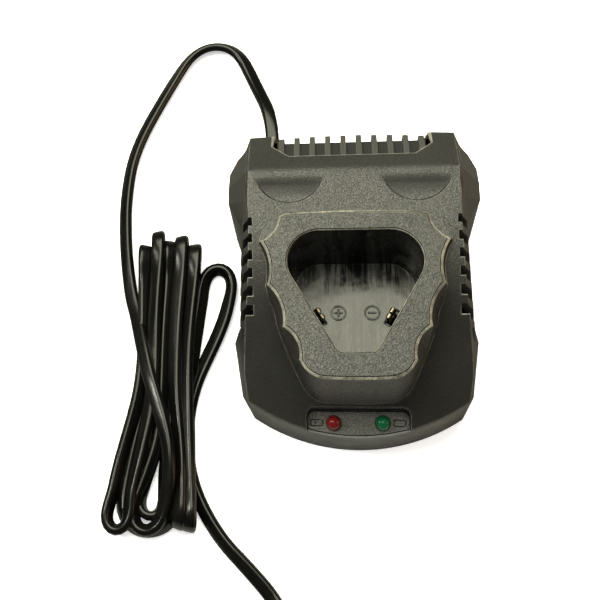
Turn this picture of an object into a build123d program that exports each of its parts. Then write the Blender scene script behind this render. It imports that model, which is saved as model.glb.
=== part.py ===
"""Power tool battery charger: a desk-top charger with a flat mains cord.

Millimetres. +X is the charger's right, +Y its rear (cord side), +Z up.
The origin is the centre of the charger's footprint on the table.
"""
from build123d import *
import os
from math import radians, degrees, sin, cos, tan, atan2, hypot, pi, sqrt

os.makedirs("parts", exist_ok=True)

# ---------------------------------------------------------------- housing
foot_stand = 1.0             # the rubber feet hold the tub this far off the table
wall = 2.2                   # moulded wall of tub and cover
seam_gap = 0.15              # clearance between moulded pieces that fit together
front_y = -55.0              # middle of the front skirt at its foot
rear_y = 55.0                # rear wall at its foot
mid_level = 39.0             # height where the shoulders are widest

# cover surface, seen from the side: flat top, an arc, then a straight front slope
cover_height = 56.5
top_level = cover_height + 1.5   # the upper outline is stated this high
cutter_reach = 4 * rear_y     # cutting shapes reach this far past the housing
crease_y = 34.8              # the flat top breaks down to the rear here
rear_slope = 30.0            # degrees
arc_start_y = 19.0           # the flat top ends and the arc starts
cover_arc_radius = 66.0
front_slope = 33.0           # degrees

# outline of the housing, right side, front corner to rear corner, at three levels
front_corner_in = 11.7       # front corners lie this far behind the skirt's middle
wing_front = 20.0            # from the skirt's middle to the front of the wings
wing_length = 41.0           # and to their end
wing_step = 3.5
waist_rear_y = 16.0
shoulder_front_y = 29.0
foot_outline = [
    (38.4, front_y + front_corner_in), (43.0, front_y + wing_front), (46.2, front_y + wing_length),
    (41.4, front_y + wing_length + wing_step), (41.4, waist_rear_y), (45.8, shoulder_front_y),
    (46.4, rear_y - 11.0), (38.4, rear_y),
]
mid_outline = [
    (38.6, front_y + front_corner_in), (39.4, front_y + wing_front), (39.7, front_y + wing_length),
    (39.3, front_y + wing_length + wing_step), (39.3, waist_rear_y), (46.0, shoulder_front_y),
    (46.0, rear_y - 12.0), (37.7, rear_y - 1.6),
]
top_outline = [
    (38.5, front_y + front_corner_in), (37.6, front_y + wing_front), (37.0, front_y + wing_length),
    (36.9, front_y + wing_length + wing_step), (36.9, waist_rear_y), (36.7, shoulder_front_y),
    (36.7, rear_y - 12.0), (36.8, rear_y - 2.6),
]
front_lean = 1.3             # the skirt's middle leans back this far up to mid_level
front_lean_top = 1.8         # and this far up to top_level
rear_bow_foot = 0.02         # the rear wall's middle bows out this far past its corners at the foot
rear_bow_mid = 1.3           # at mid_level
rear_bow_top = 1.5           # and at top_level
shoulder_edge_x = 37.5       # the cover's edge at the crease
shoulder_wide_x = 46.0       # the shoulder facet ends here, at mid_level
shoulder_wide_y = 35.5

# battery turret on the cover
turret_rise = 2.5            # rim above the cover's flat top
turret_height = cover_height + turret_rise
turret_wall = 2.2
turret_rear_y = 19.2
turret_rear_bow = 1.6
turret_front_y = -44.4
turret_front_bow = 0.7
turret_rear_half = 36.2      # where rear and sides would meet
turret_front_half = 16.6     # where sides and front would meet
turret_side_bow = 4.2
turret_rear_corner = 13.5    # corner radius at the rear lobes
turret_front_corner = 11.0   # corner radius at the front
turret_foot_z = 20.0         # the turret's foot outline is stated here, under the cover
turret_draft = 1.3           # the rim is this much smaller than the turret's foot
turret_bevel = 0.9           # bevel round the rim
rim_step = 0.25              # the rim's flat stands this much above its bevel, and as far inside it
scallop_ends_y = [7.2, -9.5, -24.7, -36.0]   # cusps between the side scallops
scallop_depth = 2.0
turret_skin = 1.2            # extra thickness behind the scallops
scallop_overlap = 0.12       # neighbouring scallops meet in a sharp cusp
scallop_fall = 17.0          # a side scallop fades out this far below the rim
corner_scallop_radius = 10.3
corner_scallop_x = 36.6
corner_scallop_y = 16.5
corner_ledge_drop = 2.1      # flat ledge under the rear corner scallops

# thumb scoops in the cover
scoop_x = 22.6
scoop_front_y = 21.8
scoop_radius = 12.5
scoop_depth = 1.1            # at its lowest place
scoop_slant = 0.9            # its round edge leans outwards this far over its depth
scoop_low_y = 24.6           # lowest place
scoop_rear_y = 32.4          # runs out into the cover here

# opening of the battery well
well_rear_y = 10.3
well_front_y = -33.5
well_front_half = 6.3
well_rear_half = 31.6        # where the slanted sides would meet the rear line
well_rear_radius = 11.2
well_front_radius = 2.6
well_floor_z = 27.0
well_wall = 1.8
well_draft = 1.3             # the floor is this much smaller than the mouth, each side
well_flange = 2.0
mouth_bevel = 0.6            # broken edge round the mouth
well_flange_thick = 1.8

# side vents
vent_count = 6
vent_pitch = 6.0
vent_first_y = 15.0
vent_width = 3.2
vent_foot_z = 20.0
vent_inner_x = 35.8          # the vents notch the cover's edge in to here
rib_out = 2.1                # ribs between the vents stand this far out

# rear grille
notch_front_y = 42.6
notch_front_half = 22.7
notch_rear_half = 28.8
notch_corner_y = 47.9
notch_bevel = 0.55           # broken edge round the notch
grille_half = 27.3
grille_foot_z = 18.0
grille_plate = 2.0
grille_wall_y = 51.0         # outer face of the recessed wall
fin_count = 10
fin_pitch = 5.7
fin_thick = 2.0
fin_rear_y = 54.6
fin_drop = 0.8               # the fins' tops lie this far under the cover's surface
fin_round = 1.6
fin_bow = 1.3                # the outer fins end this much further forward than the middle ones
grille_cheek = 1.1
grille_sill_y = 52.4
grille_tuck = 3.0            # the roof reaches this far under the cover
slot_half = 1.4              # slots between the fins
slot_low_z = 24.0
slot_head = 3.0              # the slots stop this far under the roof

# indicator panel
panel_half = 18.0
panel_rear_y = -45.3
panel_sink = 6.24            # the face's rear edge lies this far under the cover's surface
panel_slope = 14.0           # degrees from level
panel_thick = 1.6
panel_corner = 2.6           # rounded rear corners
panel_gap = 0.3              # open seam between the panel and the skirt
skirt_lip = 0.8              # the skirt's thin edge in front of the panel
panel_wall = 1.3             # rim of the tray behind and beside the panel's face
led_x = 8.7
led_y = -49.1
led_radius = 2.65
led_above = 0.6              # straight side above the panel before the dome starts
led_below = 4.0
led_collar = 3.1
led_seat = 0.15
led_lead = 0.5
led_lead_apart = 2.54
battery_mark_x = 14.7
battery_mark_long = 4.6
battery_mark_wide = 2.5
battery_mark_line = 0.35
battery_mark_deep = 0.3
lip_thick = 1.2              # the cover's inner lip
lip_height = 2.6
rib_width = 2.8
rib_foot = 3.0
rib_slope = 4.5              # height of the slope at each end of a rib

# circuit board
board_z = 9.0                # underside
board_thick = 1.6
board_top_z = board_z + board_thick
board_half = 37.0
board_rear_y = 37.5
board_outline = [
    (board_half, board_rear_y), (board_half, -36.0), (26.0, -44.0), (13.0, -44.0), (13.0, -51.0),
]
board_screw_spots = [(31.0, 24.0), (-31.0, 24.0), (31.0, -14.0), (-31.0, -14.0)]
board_screw_radius = 1.2
board_screw_head = 2.4
board_screw_head_height = 1.5
post_radius = 3.4
post_spots = [(32.4, 33.5), (-32.4, 33.5), (32.6, -29.0), (-32.6, -29.0)]
screw_radius = 1.45
screw_head_radius = 2.8
screw_head_height = 1.8
screw_play = 0.2
screw_seat_z = 4.2
screw_bite = 9.0             # depth of the hole in the cover's post
boss_skin = 1.6              # wall round the screw heads
board_post_radius = 2.8
board_screw_length = 5.0
screw_length = 18.0
post_joint_z = 16.0          # tub boss and cover post meet here
foot_radius = 4.5
foot_pocket = 1.2
foot_spots = [(30.5, 47.0), (-30.5, 47.0), (27.0, -41.5), (-27.0, -41.5)]

# battery contacts
contact_wall_gap = 3.4       # slot centre to the slanted wall, along the floor
contact_y = -11.9
slot_length = 7.0
slot_width = 3.4
leaf_thick = 0.5
leaf_width = 4.2
leaf_rise = 4.2              # leaf top above the well floor
leaf_tip = 1.5               # the top is bent over towards the middle this far
leaf_root_z = 15.5
block_half_x = 22.0
block_front_y = -21.5
block_rear_y = -4.5
contact_slack = 0.3
leaf_room = 1.1              # the leaf may lean this far each way in its holder
mark_x = 6.1                 # + and - marks on the well floor
mark_y = -10.1
mark_radius = 2.8
mark_line = 0.45
mark_rise = 0.25

# cord, a flat two-core lead
cord_width = 5.4
cord_thick = 3.3
cord_exit_x = -31.0
cord_exit_z = 9.0
bushing_out = 12.0           # strain relief beyond the rear wall
bushing_flange = 1.6
bushing_skin = 1.6
bushing_tip = 0.6            # skin at the sleeve's thin end
bushing_rim = 1.2
bushing_inner_y = 50.4       # rear face of the stop inside
clamp_half = 6.6             # clamp screws stand this far from the cord's middle
clamp_y = 46.0
clamp_width = 5.0
clamp_seat_z = cord_exit_z + cord_thick / 2
clamp_thick = 2.0
clamp_screw_length = 7.0
clamp_post_radius = 2.4

# pieces on the board: centre x, centre y
transformer_spot = (14.7, 26.5)
core_size = (25.0, 12.0, 22.0)
core_leg = 4.0
core_middle = 7.0
coil_size = (17.0, 21.0, 13.6)
coil_play = 0.15
pin_radius = 0.4
input_cap_spot = (-6.8, 24.0)
input_cap_radius = 8.0
input_cap_height = 25.0
output_cap_spot = (23.0, -30.0)
output_cap_radius = 5.0
output_cap_height = 13.0
choke_spot = (-21.0, 28.5)
choke_size = (12.0, 10.0, 12.0)
varistor_spot = (-8.0, 34.8)
varistor_radius = 5.0
varistor_thick = 4.0
fuse_spot = (-33.8, 6.0)
fuse_radius = 2.5
fuse_length = 20.0
bridge_spot = (-22.0, 14.0)
bridge_size = (15.0, 4.0, 13.0)
opto_spot = (0.0, 10.0)
opto_size = (6.5, 9.0, 3.5)
chip_spot = (-22.0, -31.0)
chip_size = (10.0, 6.0, 2.0)
inductor_spot = (0.0, -33.0)
inductor_radius = 7.0
inductor_hole = 3.2
inductor_height = 7.0
diode_spot = (25.0, -12.5)
diode_radius = 2.4
diode_length = 9.0
sink_x = 33.2
sink_thick = 2.0
sink_front_y = -6.0
sink_rear_y = 17.0
sink_top_z = 33.0
sink_fold = 4.0
transistor_y = 6.0
transistor_size = (4.5, 10.0, 15.0)
transistor_lift = 3.0

# wires from the cord's cores to the board
sheath_end_y = 43.2          # inside the housing
wire_radius = 0.9
wire_apart = 2.1
wire_bend = 1.8
live_x = cord_exit_x - wire_apart / 2
live_points = [
    (live_x, sheath_end_y, cord_exit_z), (live_x, 39.2, cord_exit_z), (live_x + 0.7, 38.8, 13.8),
    (-26.0, 35.8, 14.4), (-26.0, 35.8, board_top_z),
]
neutral_x = cord_exit_x + wire_apart / 2
neutral_points = [
    (neutral_x, sheath_end_y, cord_exit_z), (neutral_x, 40.9, cord_exit_z), (neutral_x + 0.4, 40.5, 16.8),
    (-20.5, 35.8, 17.2), (-20.5, 35.8, board_top_z),
]

# plug: a flat two-pin mains plug
plug_width = 35.3
plug_height = 13.7
plug_body_length = 26.0
plug_neck_length = 12.0
plug_corner = 6.0
pin_apart = 18.6
plug_pin_radius = 2.0
plug_pin_length = 19.0
plug_pin_seat = 6.0

# cord laid out on the table
table_z = cord_thick / 2 + 0.12   # middle of the cord where it lies flat
lead_points = [
    (cord_exit_x, rear_y + bushing_out, cord_exit_z), (-31.0, 80.0, cord_exit_z), (-38.0, 97.5, 3.4),
    (-46.7, 118.3, table_z), (-64.1, 119.1, table_z), (-76.6, 97.4, table_z), (-89.5, 70.5, table_z),
    (-92.3, 44.0, table_z), (-88.7, 20.0, table_z), (-88.7, 2.0, table_z),
]
hank_height = 11.0
hank_round = 3.0
hank_outline = [
    (-80, 31), (-84, 20), (-85.4, 2), (-92, 2), (-91, -12), (-88, -30), (-92, -60), (-96, -84), (-90, -92),
    (-64, -91), (-59, -84), (-60.9, -73.7), (-54.1, -69.3), (-57, -58), (-56, -30), (-46, 0), (-45, 10),
    (-50, 20), (-60, 28), (-66, 33),
]
tail_points = [
    (-57.5, -71.5, table_z), (-45.66, -89.8, table_z), (-30.0, -109.4, table_z),
    (-21.5, -127.5, plug_height / 2), (-20.0, -146.0, plug_height / 2),
]

tub_foot_z = foot_stand
slope_r = radians(rear_slope)
slope_f = radians(front_slope)
well_slant = atan2(well_rear_half - well_front_half, well_rear_y - well_front_y)


# ---------------------------------------------------------------- helpers
def box_between(x, y, z):
    """Box from pairs of lowest and highest x, y and z."""
    size = [hi - lo for lo, hi in (x, y, z)]
    centre = [(lo + hi) / 2 for lo, hi in (x, y, z)]
    return Pos(*centre) * Box(*size)


def rod(x, y, z_low, z_high, radius):
    """Upright cylinder."""
    return Pos(x, y, (z_low + z_high) / 2) * Cylinder(radius, z_high - z_low)


def mirrored(point):
    """The same point on the charger's left."""
    return (-point[0], point[1])


def flat_face(points, z):
    """Polygon face at a height."""
    return Pos(0, 0, z) * make_face(Polyline([(x, y, 0) for x, y in points], close=True))


def outline_face(side, front_middle_y, rear_bow, z, inset):
    """Housing outline at a height: bowed front and rear, straight sides, all moved in by the inset."""
    left = [mirrored(point) for point in side]
    with BuildSketch(Plane.XY.offset(z)) as plan:
        with BuildLine():
            ThreePointArc(left[0], (0, front_middle_y), side[0])
            Polyline(side)
            ThreePointArc(side[-1], (0, side[-1][1] + rear_bow), left[-1])
            Polyline(left[::-1])
        make_face()
        if inset:
            offset(amount=-inset, kind=Kind.INTERSECTION)
    return plan.sketch


def housing_form(inset, low_z):
    """Closed housing block above a height, with all its sides moved in by the inset."""
    foot = outline_face(foot_outline, front_y, rear_bow_foot, tub_foot_z, inset)
    mid = outline_face(mid_outline, front_y + front_lean, rear_bow_mid, mid_level, inset)
    top = outline_face(top_outline, front_y + front_lean_top, rear_bow_top, top_level, inset)
    form = loft([foot, mid], ruled=True) + loft([mid, top], ruled=True)
    for block in shoulder_trim(inset):
        form -= block
    if low_z > tub_foot_z:
        form -= box_between((-cutter_reach, cutter_reach), (-cutter_reach, cutter_reach), (0, low_z))
    return form


def shoulder_trim(inset):
    """Blocks that slice the shoulders from the cover's rear slope down to the widest place."""
    edge = Vector(shoulder_edge_x, crease_y, cover_height)
    down = Vector(0, cos(slope_r), -sin(slope_r))
    out = Vector(shoulder_wide_x, shoulder_wide_y, mid_level) - edge
    facing = out.cross(down).normalized()
    facing = facing if facing.X > 0 else facing * -1
    plane = Plane(origin=edge - facing * inset, z_dir=facing)
    block = plane * (Pos(0, 0, cutter_reach / 2) * Box(cutter_reach, cutter_reach, cutter_reach))
    return [block, mirror(block, Plane.YZ)]


def under_cover(drop):
    """Everything below the cover's outer surface, moved inwards by the drop."""
    radius = cover_arc_radius - drop
    centre_z = cover_height - cover_arc_radius
    arc_start = (arc_start_y, centre_z + radius)
    arc_mid = (arc_start_y - radius * sin(slope_f / 2), centre_z + radius * cos(slope_f / 2))
    arc_end = (arc_start_y - radius * sin(slope_f), centre_z + radius * cos(slope_f))
    run = cutter_reach / 2
    low_z = -cutter_reach
    front_end = (arc_end[0] - run * cos(slope_f), arc_end[1] - run * sin(slope_f))
    crease = (crease_y - drop * tan(slope_r / 2), cover_height - drop)
    rear_end = (crease[0] + run * cos(slope_r), crease[1] - run * sin(slope_r))
    with BuildSketch(Plane.YZ) as side:
        with BuildLine():
            Line(crease, arc_start)
            ThreePointArc(arc_start, arc_mid, arc_end)
            Polyline([arc_end, front_end, (front_end[0], low_z), (rear_end[0], low_z), rear_end, crease])
        make_face()
    return extrude(side.sketch, cutter_reach / 2, both=True)


def cover_z(y, drop=0.0):
    """Height of the cover's surface, moved inwards by the drop, at a place along the charger."""
    radius = cover_arc_radius - drop
    arc_end_y = arc_start_y - radius * sin(slope_f)
    centre_z = cover_height - cover_arc_radius
    if y > crease_y - drop * tan(slope_r / 2):
        return cover_height - drop - (y - crease_y + drop * tan(slope_r / 2)) * tan(slope_r)
    if y > arc_start_y:
        return cover_height - drop
    if y > arc_end_y:
        return centre_z + sqrt(radius ** 2 - (arc_start_y - y) ** 2)
    return centre_z + radius * cos(slope_f) - (arc_end_y - y) * tan(slope_f)


def turret_face(inset, z):
    """Plan of the turret: bowed rear, sides and front with round corners."""
    rear = (turret_rear_half, turret_rear_y - turret_rear_bow)
    front = (turret_front_half, turret_front_y + turret_front_bow)
    length = hypot(rear[0] - front[0], rear[1] - front[1])
    out_x = (rear[1] - front[1]) / length
    out_y = -(rear[0] - front[0]) / length
    side_mid = ((rear[0] + front[0]) / 2 + turret_side_bow * out_x,
                (rear[1] + front[1]) / 2 + turret_side_bow * out_y)
    with BuildSketch(Plane.XY.offset(z)) as plan:
        with BuildLine():
            ThreePointArc(mirrored(rear), (0, turret_rear_y), rear)
            ThreePointArc(rear, side_mid, front)
            ThreePointArc(front, (0, turret_front_y), mirrored(front))
            ThreePointArc(mirrored(front), mirrored(side_mid), mirrored(rear))
        make_face()
        fillet(plan.vertices().filter_by(lambda v: v.Y > 0), turret_rear_corner)
        fillet(plan.vertices().sort_by(Axis.Y)[:2], turret_front_corner)
        if inset:
            offset(amount=-inset)
    return plan.sketch


def well_face(grow, z):
    """Rounded triangle of the battery well, grown or shrunk evenly."""
    corners = [
        (well_front_half, well_front_y), (well_rear_half, well_rear_y),
        (-well_rear_half, well_rear_y), (-well_front_half, well_front_y),
    ]
    with BuildSketch(Plane.XY.offset(z)) as plan:
        with BuildLine():
            Polyline(corners, close=True)
        make_face()
        fillet(plan.vertices().filter_by(lambda v: v.Y > 0), well_rear_radius)
        fillet(plan.vertices().sort_by(Axis.Y)[:2], well_front_radius)
        if grow:
            offset(amount=grow)
    return plan.sketch


# ---------------------------------------------------------------- cutting shapes shared by pieces
def rear_notch(grow):
    """Notch in the rear of the cover, above the grille."""
    outline = [
        (notch_front_half + grow, notch_front_y - grow), (notch_rear_half + grow, notch_corner_y),
        (grille_half + seam_gap + grow, rear_y + wall), (-grille_half - seam_gap - grow, rear_y + wall),
        (-notch_rear_half - grow, notch_corner_y), (-notch_front_half - grow, notch_front_y - grow),
    ]
    return extrude(flat_face(outline, mid_level / 2), cutter_reach / 2)


def vent_slots(inner_x):
    """Side vents, both sides, cut from outside in to a distance from the middle."""
    cuts = []
    for i in range(vent_count):
        y = vent_first_y - i * vent_pitch
        for side in (1, -1):
            cutter = box_between((inner_x, cutter_reach), (y - vent_width / 2, y + vent_width / 2),
                                 (vent_foot_z, cutter_reach))
            cuts.append(cutter if side > 0 else mirror(cutter, Plane.YZ))
    return cuts


def above_panel(drop, margin):
    """Everything above the panel's face lowered by the drop, widened by the margin at sides and rear."""
    tilt = radians(panel_slope)
    rear = panel_rear_y + margin
    rear_z = panel_surface_z(rear) - drop / cos(tilt)
    front = 2 * front_y
    half = panel_half + margin
    with BuildSketch(Plane.YZ) as side:
        with BuildLine():
            Polyline([(rear, cutter_reach), (rear, rear_z), (front, rear_z - (rear - front) * tan(tilt)),
                      (front, cutter_reach)], close=True)
        make_face()
    plan = flat_face([(half, rear), (-half, rear), (-half, front), (half, front)], -cutter_reach)
    plan = fillet(plan.vertices().sort_by(Axis.Y)[-2:], panel_corner + margin)
    return extrude(side.sketch, half, both=True) & extrude(plan, 2 * cutter_reach)


# ---------------------------------------------------------------- cover with turret
def rim_x(y):
    """Half width of the turret's rim at a place along it."""
    cut = turret_face(turret_draft, 0) & (Pos(turret_rear_half, y) * Rectangle(2 * turret_rear_half, 0.02))
    return cut.bounding_box().max.X


def side_scallop_circles():
    """Centre and radius of each scoop round the right of the rim, from cusp to cusp."""
    circles = []
    for start_y, end_y in zip(scallop_ends_y, scallop_ends_y[1:]):
        start = Vector(rim_x(start_y), start_y)
        end = Vector(rim_x(end_y), end_y)
        chord = end - start
        radius = (chord.length ** 2 / 4 + scallop_depth ** 2) / (2 * scallop_depth)
        outward = Vector(-chord.Y, chord.X).normalized()
        circles.append(((start + end) * 0.5 + outward * (radius - scallop_depth), radius + scallop_overlap))
    return circles


def turret_block():
    """The turret's solid outer form, with its scalloped and bevelled rim."""
    rim_z = turret_height - turret_bevel
    block = loft([turret_face(0, turret_foot_z), turret_face(turret_draft, rim_z)], ruled=True)
    rim = turret_face(turret_draft, rim_z)
    ledge_z = turret_height - corner_ledge_drop
    for centre, radius in side_scallop_circles():
        low_radius = radius - scallop_depth - turret_draft
        cone = Pos(centre.X, centre.Y, rim_z - scallop_fall / 2) * Cone(low_radius, radius, scallop_fall)
        disc = Pos(centre.X, centre.Y, rim_z) * Circle(radius)
        block = block - cone - mirror(cone, Plane.YZ)
        rim = rim - disc - mirror(disc, Plane.YZ)
    bite = rod(corner_scallop_x, corner_scallop_y, ledge_z, turret_height, corner_scallop_radius)
    disc = Pos(corner_scallop_x, corner_scallop_y, rim_z) * Circle(corner_scallop_radius)
    block = block - bite - mirror(bite, Plane.YZ)
    rim = rim - disc - mirror(disc, Plane.YZ)
    lip = Pos(0, 0, turret_bevel - rim_step) * offset(rim, amount=-turret_bevel, kind=Kind.INTERSECTION)
    flat = Pos(0, 0, -rim_step) * offset(lip, amount=-rim_step, kind=Kind.INTERSECTION)
    return block + loft([rim.face(), lip.face()], ruled=True) + extrude(flat.face(), 2 * rim_step)


def thumb_scoop(x):
    """Dished dent with a round front edge that runs out into the cover at its rear."""
    run = scoop_rear_y - scoop_low_y
    bend = (run ** 2 + scoop_depth ** 2) / (2 * scoop_depth)
    lean = scoop_slant / scoop_depth
    round_edge = Pos(x, scoop_front_y + scoop_radius, cover_height) * Cone(
        scoop_radius - 2 * scoop_depth * lean, scoop_radius + 2 * scoop_depth * lean, 4 * scoop_depth)
    dish = Pos(x, scoop_low_y, cover_height - scoop_depth + bend) * (Rot(0, 90, 0) * Cylinder(bend, 4 * scoop_radius))
    return round_edge & dish


def turret_hollow():
    """Space inside the turret's walls, open below."""
    low = turret_face(turret_wall + turret_skin, foot_stand)
    high = turret_face(turret_wall + turret_skin + turret_draft, turret_height - turret_wall)
    return loft([low, high], ruled=True)


def upper_housing():
    """Textured cover: sloped top plate, turret, thumb scoops, inner lip and four screw posts."""
    skin = under_cover(0) - under_cover(wall)
    cover = housing_form(0, tub_foot_z) & skin
    lip_band = (housing_form(wall + seam_gap, tub_foot_z) - housing_form(wall + seam_gap + lip_thick, tub_foot_z))
    lip = lip_band & (under_cover(wall) - under_cover(wall + lip_height))
    tray_half = panel_half + panel_wall + seam_gap
    cover += lip - box_between((-tray_half, tray_half), (front_y, panel_rear_y + panel_wall + seam_gap),
                               (tub_foot_z, cover_height))
    cover += turret_block() - under_cover(wall)
    for x, y in post_spots:
        post = rod(x, y, post_joint_z, cover_height, post_radius) & under_cover(wall / 2)
        cover += post - rod(x, y, post_joint_z - 1, post_joint_z + screw_bite, screw_radius)
    cover -= turret_hollow()
    cover -= extrude(well_face(0, mid_level), cutter_reach)
    bevel_z = turret_height - mouth_bevel
    cover -= loft([well_face(0, bevel_z), well_face(2 * mouth_bevel, turret_height + mouth_bevel)], ruled=True)
    cover -= thumb_scoop(scoop_x)
    cover -= thumb_scoop(-scoop_x)
    for cut in vent_slots(vent_inner_x):
        cover -= cut
    cover -= rear_notch(0)
    cover -= grille_space()
    cover -= above_panel(panel_thick + seam_gap, panel_gap)
    return chamfer(notch_edges(cover), notch_bevel)


def notch_edges(cover):
    """Edges of the rear notch on the cover's sloped face."""
    found = []
    for edge in cover.edges():
        ends = [edge @ 0, edge @ 1]
        on_slope = all(abs(end.Z - cover_z(end.Y)) < seam_gap / 10 for end in ends)
        inside = all(abs(end.X) < notch_rear_half + seam_gap / 10 for end in ends)
        behind = all(end.Y > notch_front_y - seam_gap / 10 for end in ends)
        ahead = min(end.Y for end in ends) < notch_corner_y + seam_gap
        if on_slope and inside and behind and ahead:
            found.append(edge)
    return found


# ---------------------------------------------------------------- tub
def vent_ribs():
    """Upright ribs between the side vents, rounded outwards."""
    ribs = []
    for i in range(vent_count + 1):
        y = vent_first_y + vent_pitch / 2 - i * vent_pitch
        z_low = vent_foot_z - rib_foot
        z_high = cover_z(y - rib_width / 2, wall) - seam_gap
        foot_x, head_x = rib_x(z_low), rib_x(z_high)
        with BuildSketch(Plane.XZ.offset(-y)) as side:
            with BuildLine():
                Polyline([
                    (foot_x - wall / 2, z_low), (foot_x, z_low), (foot_x + rib_out, z_low + rib_slope),
                    (head_x + rib_out, z_high - rib_slope), (head_x, z_high), (head_x - wall / 2, z_high),
                ], close=True)
            make_face()
        rib = extrude(side.sketch, rib_width / 2, both=True)
        ribs += [rib, mirror(rib, Plane.YZ)]
    return ribs


def rib_x(z):
    """Half width of the waist at a height."""
    foot_x = foot_outline[4][0]
    mid_x = mid_outline[4][0]
    top_x = top_outline[4][0]
    if z < mid_level:
        return foot_x + (mid_x - foot_x) * (z - tub_foot_z) / (mid_level - tub_foot_z)
    return mid_x + (top_x - mid_x) * (z - mid_level) / (top_level - mid_level)


def grille_space():
    """Window in the tub's rear wall that the grille fills, up to the cover."""
    half = grille_half + seam_gap
    low = box_between((-half, half), (grille_wall_y - grille_plate - seam_gap, rear_y + 3),
                      (grille_foot_z - seam_gap, cutter_reach))
    return low & under_cover(wall)


def lower_housing():
    """Tub with shoulders, waist, wings and front skirt; it carries the board, the feet and the grille."""
    tub = housing_form(0, tub_foot_z) & under_cover(wall)
    for rib in vent_ribs():
        tub += rib
    tub -= housing_form(wall, tub_foot_z + wall)
    for x, y in post_spots:
        tub += rod(x, y, tub_foot_z, post_joint_z - seam_gap, post_radius)
        tub += rod(x, y, tub_foot_z, screw_seat_z + wall, screw_head_radius + screw_play + boss_skin)
        tub -= rod(x, y, tub_foot_z - 1, post_joint_z, screw_radius + screw_play)
        tub -= rod(x, y, tub_foot_z - 1, screw_seat_z, screw_head_radius + screw_play)
    for x, y in board_screw_spots:
        tub += rod(x, y, tub_foot_z + wall / 2, board_z, board_post_radius)
        tub -= rod(x, y, board_z - board_screw_length, board_z, board_screw_radius)
    for x, y in foot_spots:
        tub += rod(x, y, tub_foot_z, tub_foot_z + foot_pocket + wall, foot_radius + wall)
        tub -= rod(x, y, tub_foot_z - 1, tub_foot_z + foot_pocket, foot_radius + seam_gap)
    for cut in vent_slots(vent_inner_x - 2 * wall):
        tub -= cut
    tub -= grille_space()
    tub -= above_panel(0, panel_gap)
    tub -= above_panel(panel_thick + seam_gap, panel_wall + panel_gap) & housing_form(skirt_lip, tub_foot_z)
    for side in (1, -1):
        tub -= led_place(side) * (Pos(0, 0, -2 * led_collar) * Cylinder(led_collar + seam_gap, 4 * led_collar))
    tub -= bushing_hole()
    tub += box_between((cord_exit_x - cord_width / 2, cord_exit_x + cord_width / 2),
                       (clamp_y - clamp_width / 2, clamp_y + clamp_width / 2),
                       (tub_foot_z + wall - 0.2, cord_exit_z - cord_thick / 2))
    for x in (cord_exit_x - clamp_half, cord_exit_x + clamp_half):
        tub += rod(x, clamp_y, tub_foot_z + wall - 0.2, clamp_seat_z, clamp_post_radius)
        tub -= rod(x, clamp_y, clamp_seat_z - clamp_screw_length + clamp_thick, clamp_seat_z, board_screw_radius)
    return tub


def cord_oval(y, skin):
    """Cord's flat outline in an upright plane across its exit, with a skin round it."""
    plane = Plane(origin=(cord_exit_x, y, cord_exit_z), x_dir=(1, 0, 0), z_dir=(0, 1, 0))
    return plane * SlotCenterToCenter(cord_width - cord_thick, cord_thick + 2 * skin)


def bushing_hole():
    """Oblong hole in the rear wall for the cord bushing's neck."""
    return extrude(cord_oval(rear_y + bushing_out, bushing_skin + seam_gap), -2 * bushing_out)


# ---------------------------------------------------------------- battery well
def socket_well():
    """Glossy cup for the battery stem: drafted walls, a flange under the turret's rim, floor with two slots."""
    rim_under = turret_height - turret_wall
    floor_low = well_floor_z - well_wall
    outer = loft([well_face(well_wall - well_draft, floor_low), well_face(well_wall, rim_under)], ruled=True)
    inner = loft([well_face(-well_draft, well_floor_z), well_face(0, rim_under)], ruled=True)
    flange = extrude(well_face(well_wall + well_flange, rim_under), -well_flange_thick)
    cup = outer + (flange - extrude(well_face(0, rim_under), -well_flange_thick)) - inner
    for side in (1, -1):
        cup -= contact_slot(side)
        cup += polarity_mark(side)
    return cup


def polarity_mark(side):
    """Raised ring on the well's floor with a plus on the left and a minus on the right."""
    z = well_floor_z + mark_rise / 2 - 0.1
    place = Pos(side * mark_x, mark_y, z)
    ring = Cylinder(mark_radius, mark_rise + 0.2) - Cylinder(mark_radius - mark_line, mark_rise + 0.2)
    bar = Box(mark_radius * 1.05, mark_line, mark_rise + 0.2)
    sign = bar if side > 0 else bar + Rot(0, 0, 90) * bar
    return place * (ring + sign)


def contact_place(side):
    """Frame on the well floor at a contact: X along the slanted wall to the rear, Z up."""
    wall_x = well_front_half + (contact_y - well_front_y) * tan(well_slant) - well_draft / cos(well_slant)
    x = wall_x - contact_wall_gap / cos(well_slant)
    along = Vector(side * sin(well_slant), cos(well_slant), 0)
    return Plane(origin=(side * x, contact_y, well_floor_z), x_dir=along, z_dir=(0, 0, 1))


def contact_slot(side):
    """Oblong slot through the well floor for a battery contact."""
    return contact_place(side) * Box(slot_length, slot_width, 4 * well_wall)


def contact(side):
    """Sprung contact: a leaf that stands up through the slot, a bent tip, and a foot in its holder."""
    height = well_floor_z + leaf_rise - leaf_root_z
    base = leaf_root_z - well_floor_z
    leaf = Pos(0, 0, base + height / 2) * Box(leaf_width, leaf_thick, height)
    tip = Pos(0, side * leaf_tip / 2, leaf_rise - leaf_thick / 2) * Box(leaf_width, leaf_tip + leaf_thick, leaf_thick)
    return contact_place(side) * (leaf + tip)


# ---------------------------------------------------------------- pieces under the well
def terminal_block():
    """Holder on the board that carries both contacts in slots under the well."""
    top = well_floor_z - well_wall - seam_gap
    low = board_top_z
    block = box_between((-block_half_x, block_half_x), (block_front_y, block_rear_y), (low, top))
    for side in (1, -1):
        pocket_z = leaf_root_z - well_floor_z
        room = Pos(0, 0, pocket_z + 10) * Box(leaf_width + 2 * contact_slack, leaf_thick + 2 * leaf_room, 20)
        block -= contact_place(side) * room
    return block


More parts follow.
